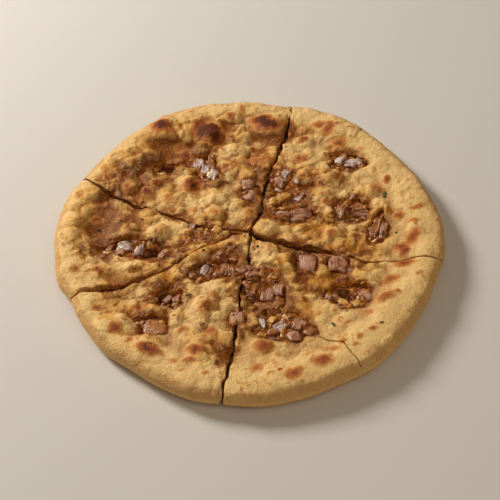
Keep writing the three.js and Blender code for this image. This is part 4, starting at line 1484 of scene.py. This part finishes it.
heights, spreads = zip(*bit_rings)
bit = new_object("bit", *standing([bit_outline * spread for spread in spreads], heights))
chopped, chopped_inputs = scatter_tree()
onion_materials = {kind: bpy.data.materials.new(f"{kind} onion") for kind in kinds}
onion_pieces = {}
for number, kind in enumerate(kinds):
    points, faces, values = joined(onion_parts[kind] + [scattered_bits(kind, 10 + number)])
    piece = new_object(f"onion_{kind}", points, faces)
    set_attribute(piece, "leaf_height", values[:, 0])
    set_attribute(piece, "leaf_fibre", values[:, 1])
    piece.data.materials.append(onion_materials[kind])
    piece.data.shade_smooth()
    onion_pieces[kind] = piece
bpy.data.objects.remove(bit)
print({kind: len(piece.data.polygons) for kind, piece in onion_pieces.items()})

# %% [markdown]
# Cooked onion lets light through: it glows a little inside and shines on top. The four kinds share one
# recipe with three colours each: the top of a leaf, lighter as a painted highlight, its body, and its
# foot, darker as painted shade and where the mash has stained it.
# Fine lines run along each leaf. They come from a noise of one dimension, across the leaf.

# %% Materials of the onion
# Per kind: the painted highlight of the top, the body, and the foot with painted shade and mash stain.
onion_colours = {
    "white": ("E6CEC4", "A27868", "6C3818"),
    "rosy": ("CA967A", "925838", "6C320A"),
    "brown": ("BC8252", "8A4E22", "602C08"),
    "gold": ("E0AC5C", "B87620", "84480A"),
}


def onion_recipe(material, light, body, dark):
    recipe, surface, place = shader(material)
    height = recipe.attribute("leaf_height")
    cloud = recipe.noise(place, 4, detail=3) - 0.5
    lines = recipe.node("ShaderNodeTexNoise", {"noise_dimensions": "1D"}, {
        "W": recipe.attribute("leaf_fibre") + cloud * 0.8, "Scale": 1.5, "Detail": 2.0})
    recipe.fill(surface, {
        "Base Color": layered(recipe, colour(body), [
            # Painted highlight on the top of each leaf.
            (recipe.smooth(0.55, 1.05, height + cloud * 2.0), light),
            (recipe.smooth(0.46, 0.66, lines) * 0.55, body),
            # Painted shade and mash stain on the foot of each leaf.
            (recipe.smooth(0.85, 0.3, height + cloud * 1.1) * 0.9, dark),
        ]),
        "Roughness": 0.14 + lines * 0.2,
        "Normal": recipe.bump(0.8, 0.5, lines * 0.6 + recipe.noise(place, 1.2, detail=3)),
        "Specular IOR Level": 0.6,
        "IOR": 1.4,
        **glow(0.35, 0.6, 0.4, 2.0),
    })


for kind, material in onion_materials.items():
    onion_recipe(material, *onion_colours[kind])
print("onion materials:", len(onion_materials))

# %% [markdown]
# ## Herbs, pepper and seeds
# A few flecks of chopped herb, grains of cracked pepper and cumin seeds stick to the crust. All three
# are the same spindle, only flat and broad for a herb, short for pepper and long for a seed. Each row is
# x, y, turn and length.

# %% Flecks on the crust
herbs = [(-5, 74, 30, 4), (79.5, 27, 80, 6), (43, -66.5, -60, 4.4), (68, -69.5, 10, 3), (51, -57.5, 20, 2.2)]
peppers = [
    (-86, 11, 0, 2), (4.5, -9.5, 40, 1.8), (83, -2.6, 10, 1.4), (-64, -22, 0, 1.3), (-78.5, 77, 0, 1.2),
    (-26, -10.6, 20, 1.6), (-13, -9.6, 0, 1.4), (-83.5, 0, 0, 1.1), (-61, 16.5, 0, 1.2), (-73, 16, 0, 0.9),
    (15, 12.4, 0, 1.6), (19, 12, 70, 1.4), (-12, 21, 0, 0.9), (29, 48, 0, 1.1), (64, 20, 0, 0.9),
]
seeds = [(-34.5, -41, 10, 4.2), (-27, -63, 50, 3.4)]
crust_points = np.concatenate([np.stack(points_of(piece), -1) for piece in slices])
crust_points = crust_points[crust_points[:, 2] > middle_height / 2]


def crust_height(x, y):
    nearest = np.hypot(crust_points[:, 0] - x, crust_points[:, 1] - y).argmin()
    return crust_points[nearest, 2]


spindle_corners = 8
spindle_rings = 7
spindle_reach = 0.94


def spindle(length, width, height, bend):
    angle = np.linspace(0, 2 * math.pi, spindle_corners, endpoint=False)
    rings = []
    for place in np.linspace(-spindle_reach, spindle_reach, spindle_rings):
        spread = math.sqrt(1 - place * place)
        across = np.cos(angle) * spread * width / 2
        up = np.sin(angle) * spread * height / 2 + bend * (1 - place * place)
        rings.append(ring_at(place * length / 2, across, up))
    return tube(rings)


def flecks(name, rows, width_share, height, bend, tones):
    rng = np.random.default_rng(len(rows))
    parts = []
    for x, y, turn, length in rows:
        points, faces = spindle(length, width_share * length, height, bend)
        points = turned(points, math.radians(turn), *rng.uniform(-0.2, 0.2, 2))
        place = (x, y, crust_height(x, y) + 0.2 * height - 0.5 * bend)
        parts.append((points + place, faces, np.zeros(len(points))))
    made = new_object(name, *joined(parts)[:2])
    material = bpy.data.materials.new(name.replace("_", " "))
    recipe, surface, place = shader(material)
    speckle = recipe.noise(place, 0.8, detail=2)
    recipe.fill(surface, {
        "Base Color": layered(recipe, colour(tones[0]), [(recipe.smooth(0.35, 0.65, speckle), tones[1])]),
        "Roughness": 0.45 + speckle * 0.2,
        "Normal": recipe.bump(0.4, 0.2, speckle),
    })
    made.data.materials.append(material)
    made.data.shade_smooth()
    return made


fleck_pieces = [
    flecks("herb_flecks", herbs, 0.42, 0.35, 0.4, ("34380C", "626420")),
    flecks("pepper_grains", peppers, 0.8, 0.9, 0, ("150D08", "33241A")),
    flecks("cumin_seeds", seeds, 0.3, 1.0, 0.2, ("4A3416", "6E5228")),
]
print({piece.name: len(piece.data.polygons) for piece in fleck_pieces})

# %% [markdown]
# ## The light, the floor and the camera
# The bread is shown on a plain pale floor, seen from its front at about half height. A large soft light
# stands at the back left, as a window would, and a weak one fills the shadows.

# %% Floor
floor_size = 4000
floor = new_object("floor", [(-floor_size, -floor_size, 0), (floor_size, -floor_size, 0),
                             (floor_size, floor_size, 0), (-floor_size, floor_size, 0)], [[0, 1, 2, 3]])
plaster = bpy.data.materials.new("pale floor")
recipe, surface, _ = shader(plaster)
recipe.fill(surface, {"Base Color": colour("D8D3CB"), "Roughness": 0.8})
floor.data.materials.append(plaster)
print("floor", 2 * floor_size * MM, "m wide")

# %% Lights
def area_light(name, place, size, power, tint):
    light = bpy.data.lights.new(name, "AREA")
    light.shape = "DISK"
    light.size = size
    light.energy = power
    light.color = tint
    made = bpy.data.objects.new(name, light)
    made.location = place
    made.rotation_euler = (-Vector(place)).to_track_quat("-Z", "Y").to_euler()
    bpy.context.scene.collection.objects.link(made)


area_light("window", (-0.82, 0.66, 0.62), 0.36, 15.8, (1.0, 0.97, 0.91))
area_light("fill", (0.6, -0.8, 1.2), 1.6, 6.0, (1.0, 0.87, 0.69))
world = bpy.data.worlds.new("studio")
world.use_nodes = True
background = world.node_tree.nodes["Background"].inputs
background["Color"].default_value = (1.0, 0.86, 0.66, 1)
background["Strength"].default_value = 0.16
bpy.context.scene.world = world
bpy.context.scene.view_settings.view_transform = "Standard"

# %% Camera
look_down = math.radians(49.23)
camera_distance = 758
camera_target = Vector((0.2, -2.7, 0))
camera_roll = math.radians(-2.46)
lens = 95.7
sensor_width = 36

camera = bpy.data.objects.new("camera", bpy.data.cameras.new("camera"))
camera.data.lens = lens
camera.data.sensor_width = sensor_width
forward = Vector((0, math.cos(look_down), -math.sin(look_down)))
right = Vector((1, 0, 0))
up = right.cross(forward)
turned_right = right * math.cos(camera_roll) + up * math.sin(camera_roll)
turned_up = up * math.cos(camera_roll) - right * math.sin(camera_roll)
camera.matrix_world = Matrix.Translation((camera_target - forward * camera_distance) * MM) @ Matrix(
    (turned_right, turned_up, -forward)).transposed().to_4x4()
bpy.context.scene.collection.objects.link(camera)
bpy.context.scene.camera = camera
print("camera at", [round(v, 3) for v in camera.matrix_world.translation])

# %% [markdown]
# ## Fit it all to the frame
# Every piece rides on the one body. The dough and mash of each slice hide the solids of the frame that
# they stand for.

# %% Ride and replace
for number, (crust, core) in enumerate(zip(slices, mash_pieces), 1):
    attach(crust, "root")
    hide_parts(f"slice_{number}")
    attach(core, "root")
    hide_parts(f"filling_{number}")
for piece in [*onion_pieces.values(), *fleck_pieces]:
    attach(piece, "root")
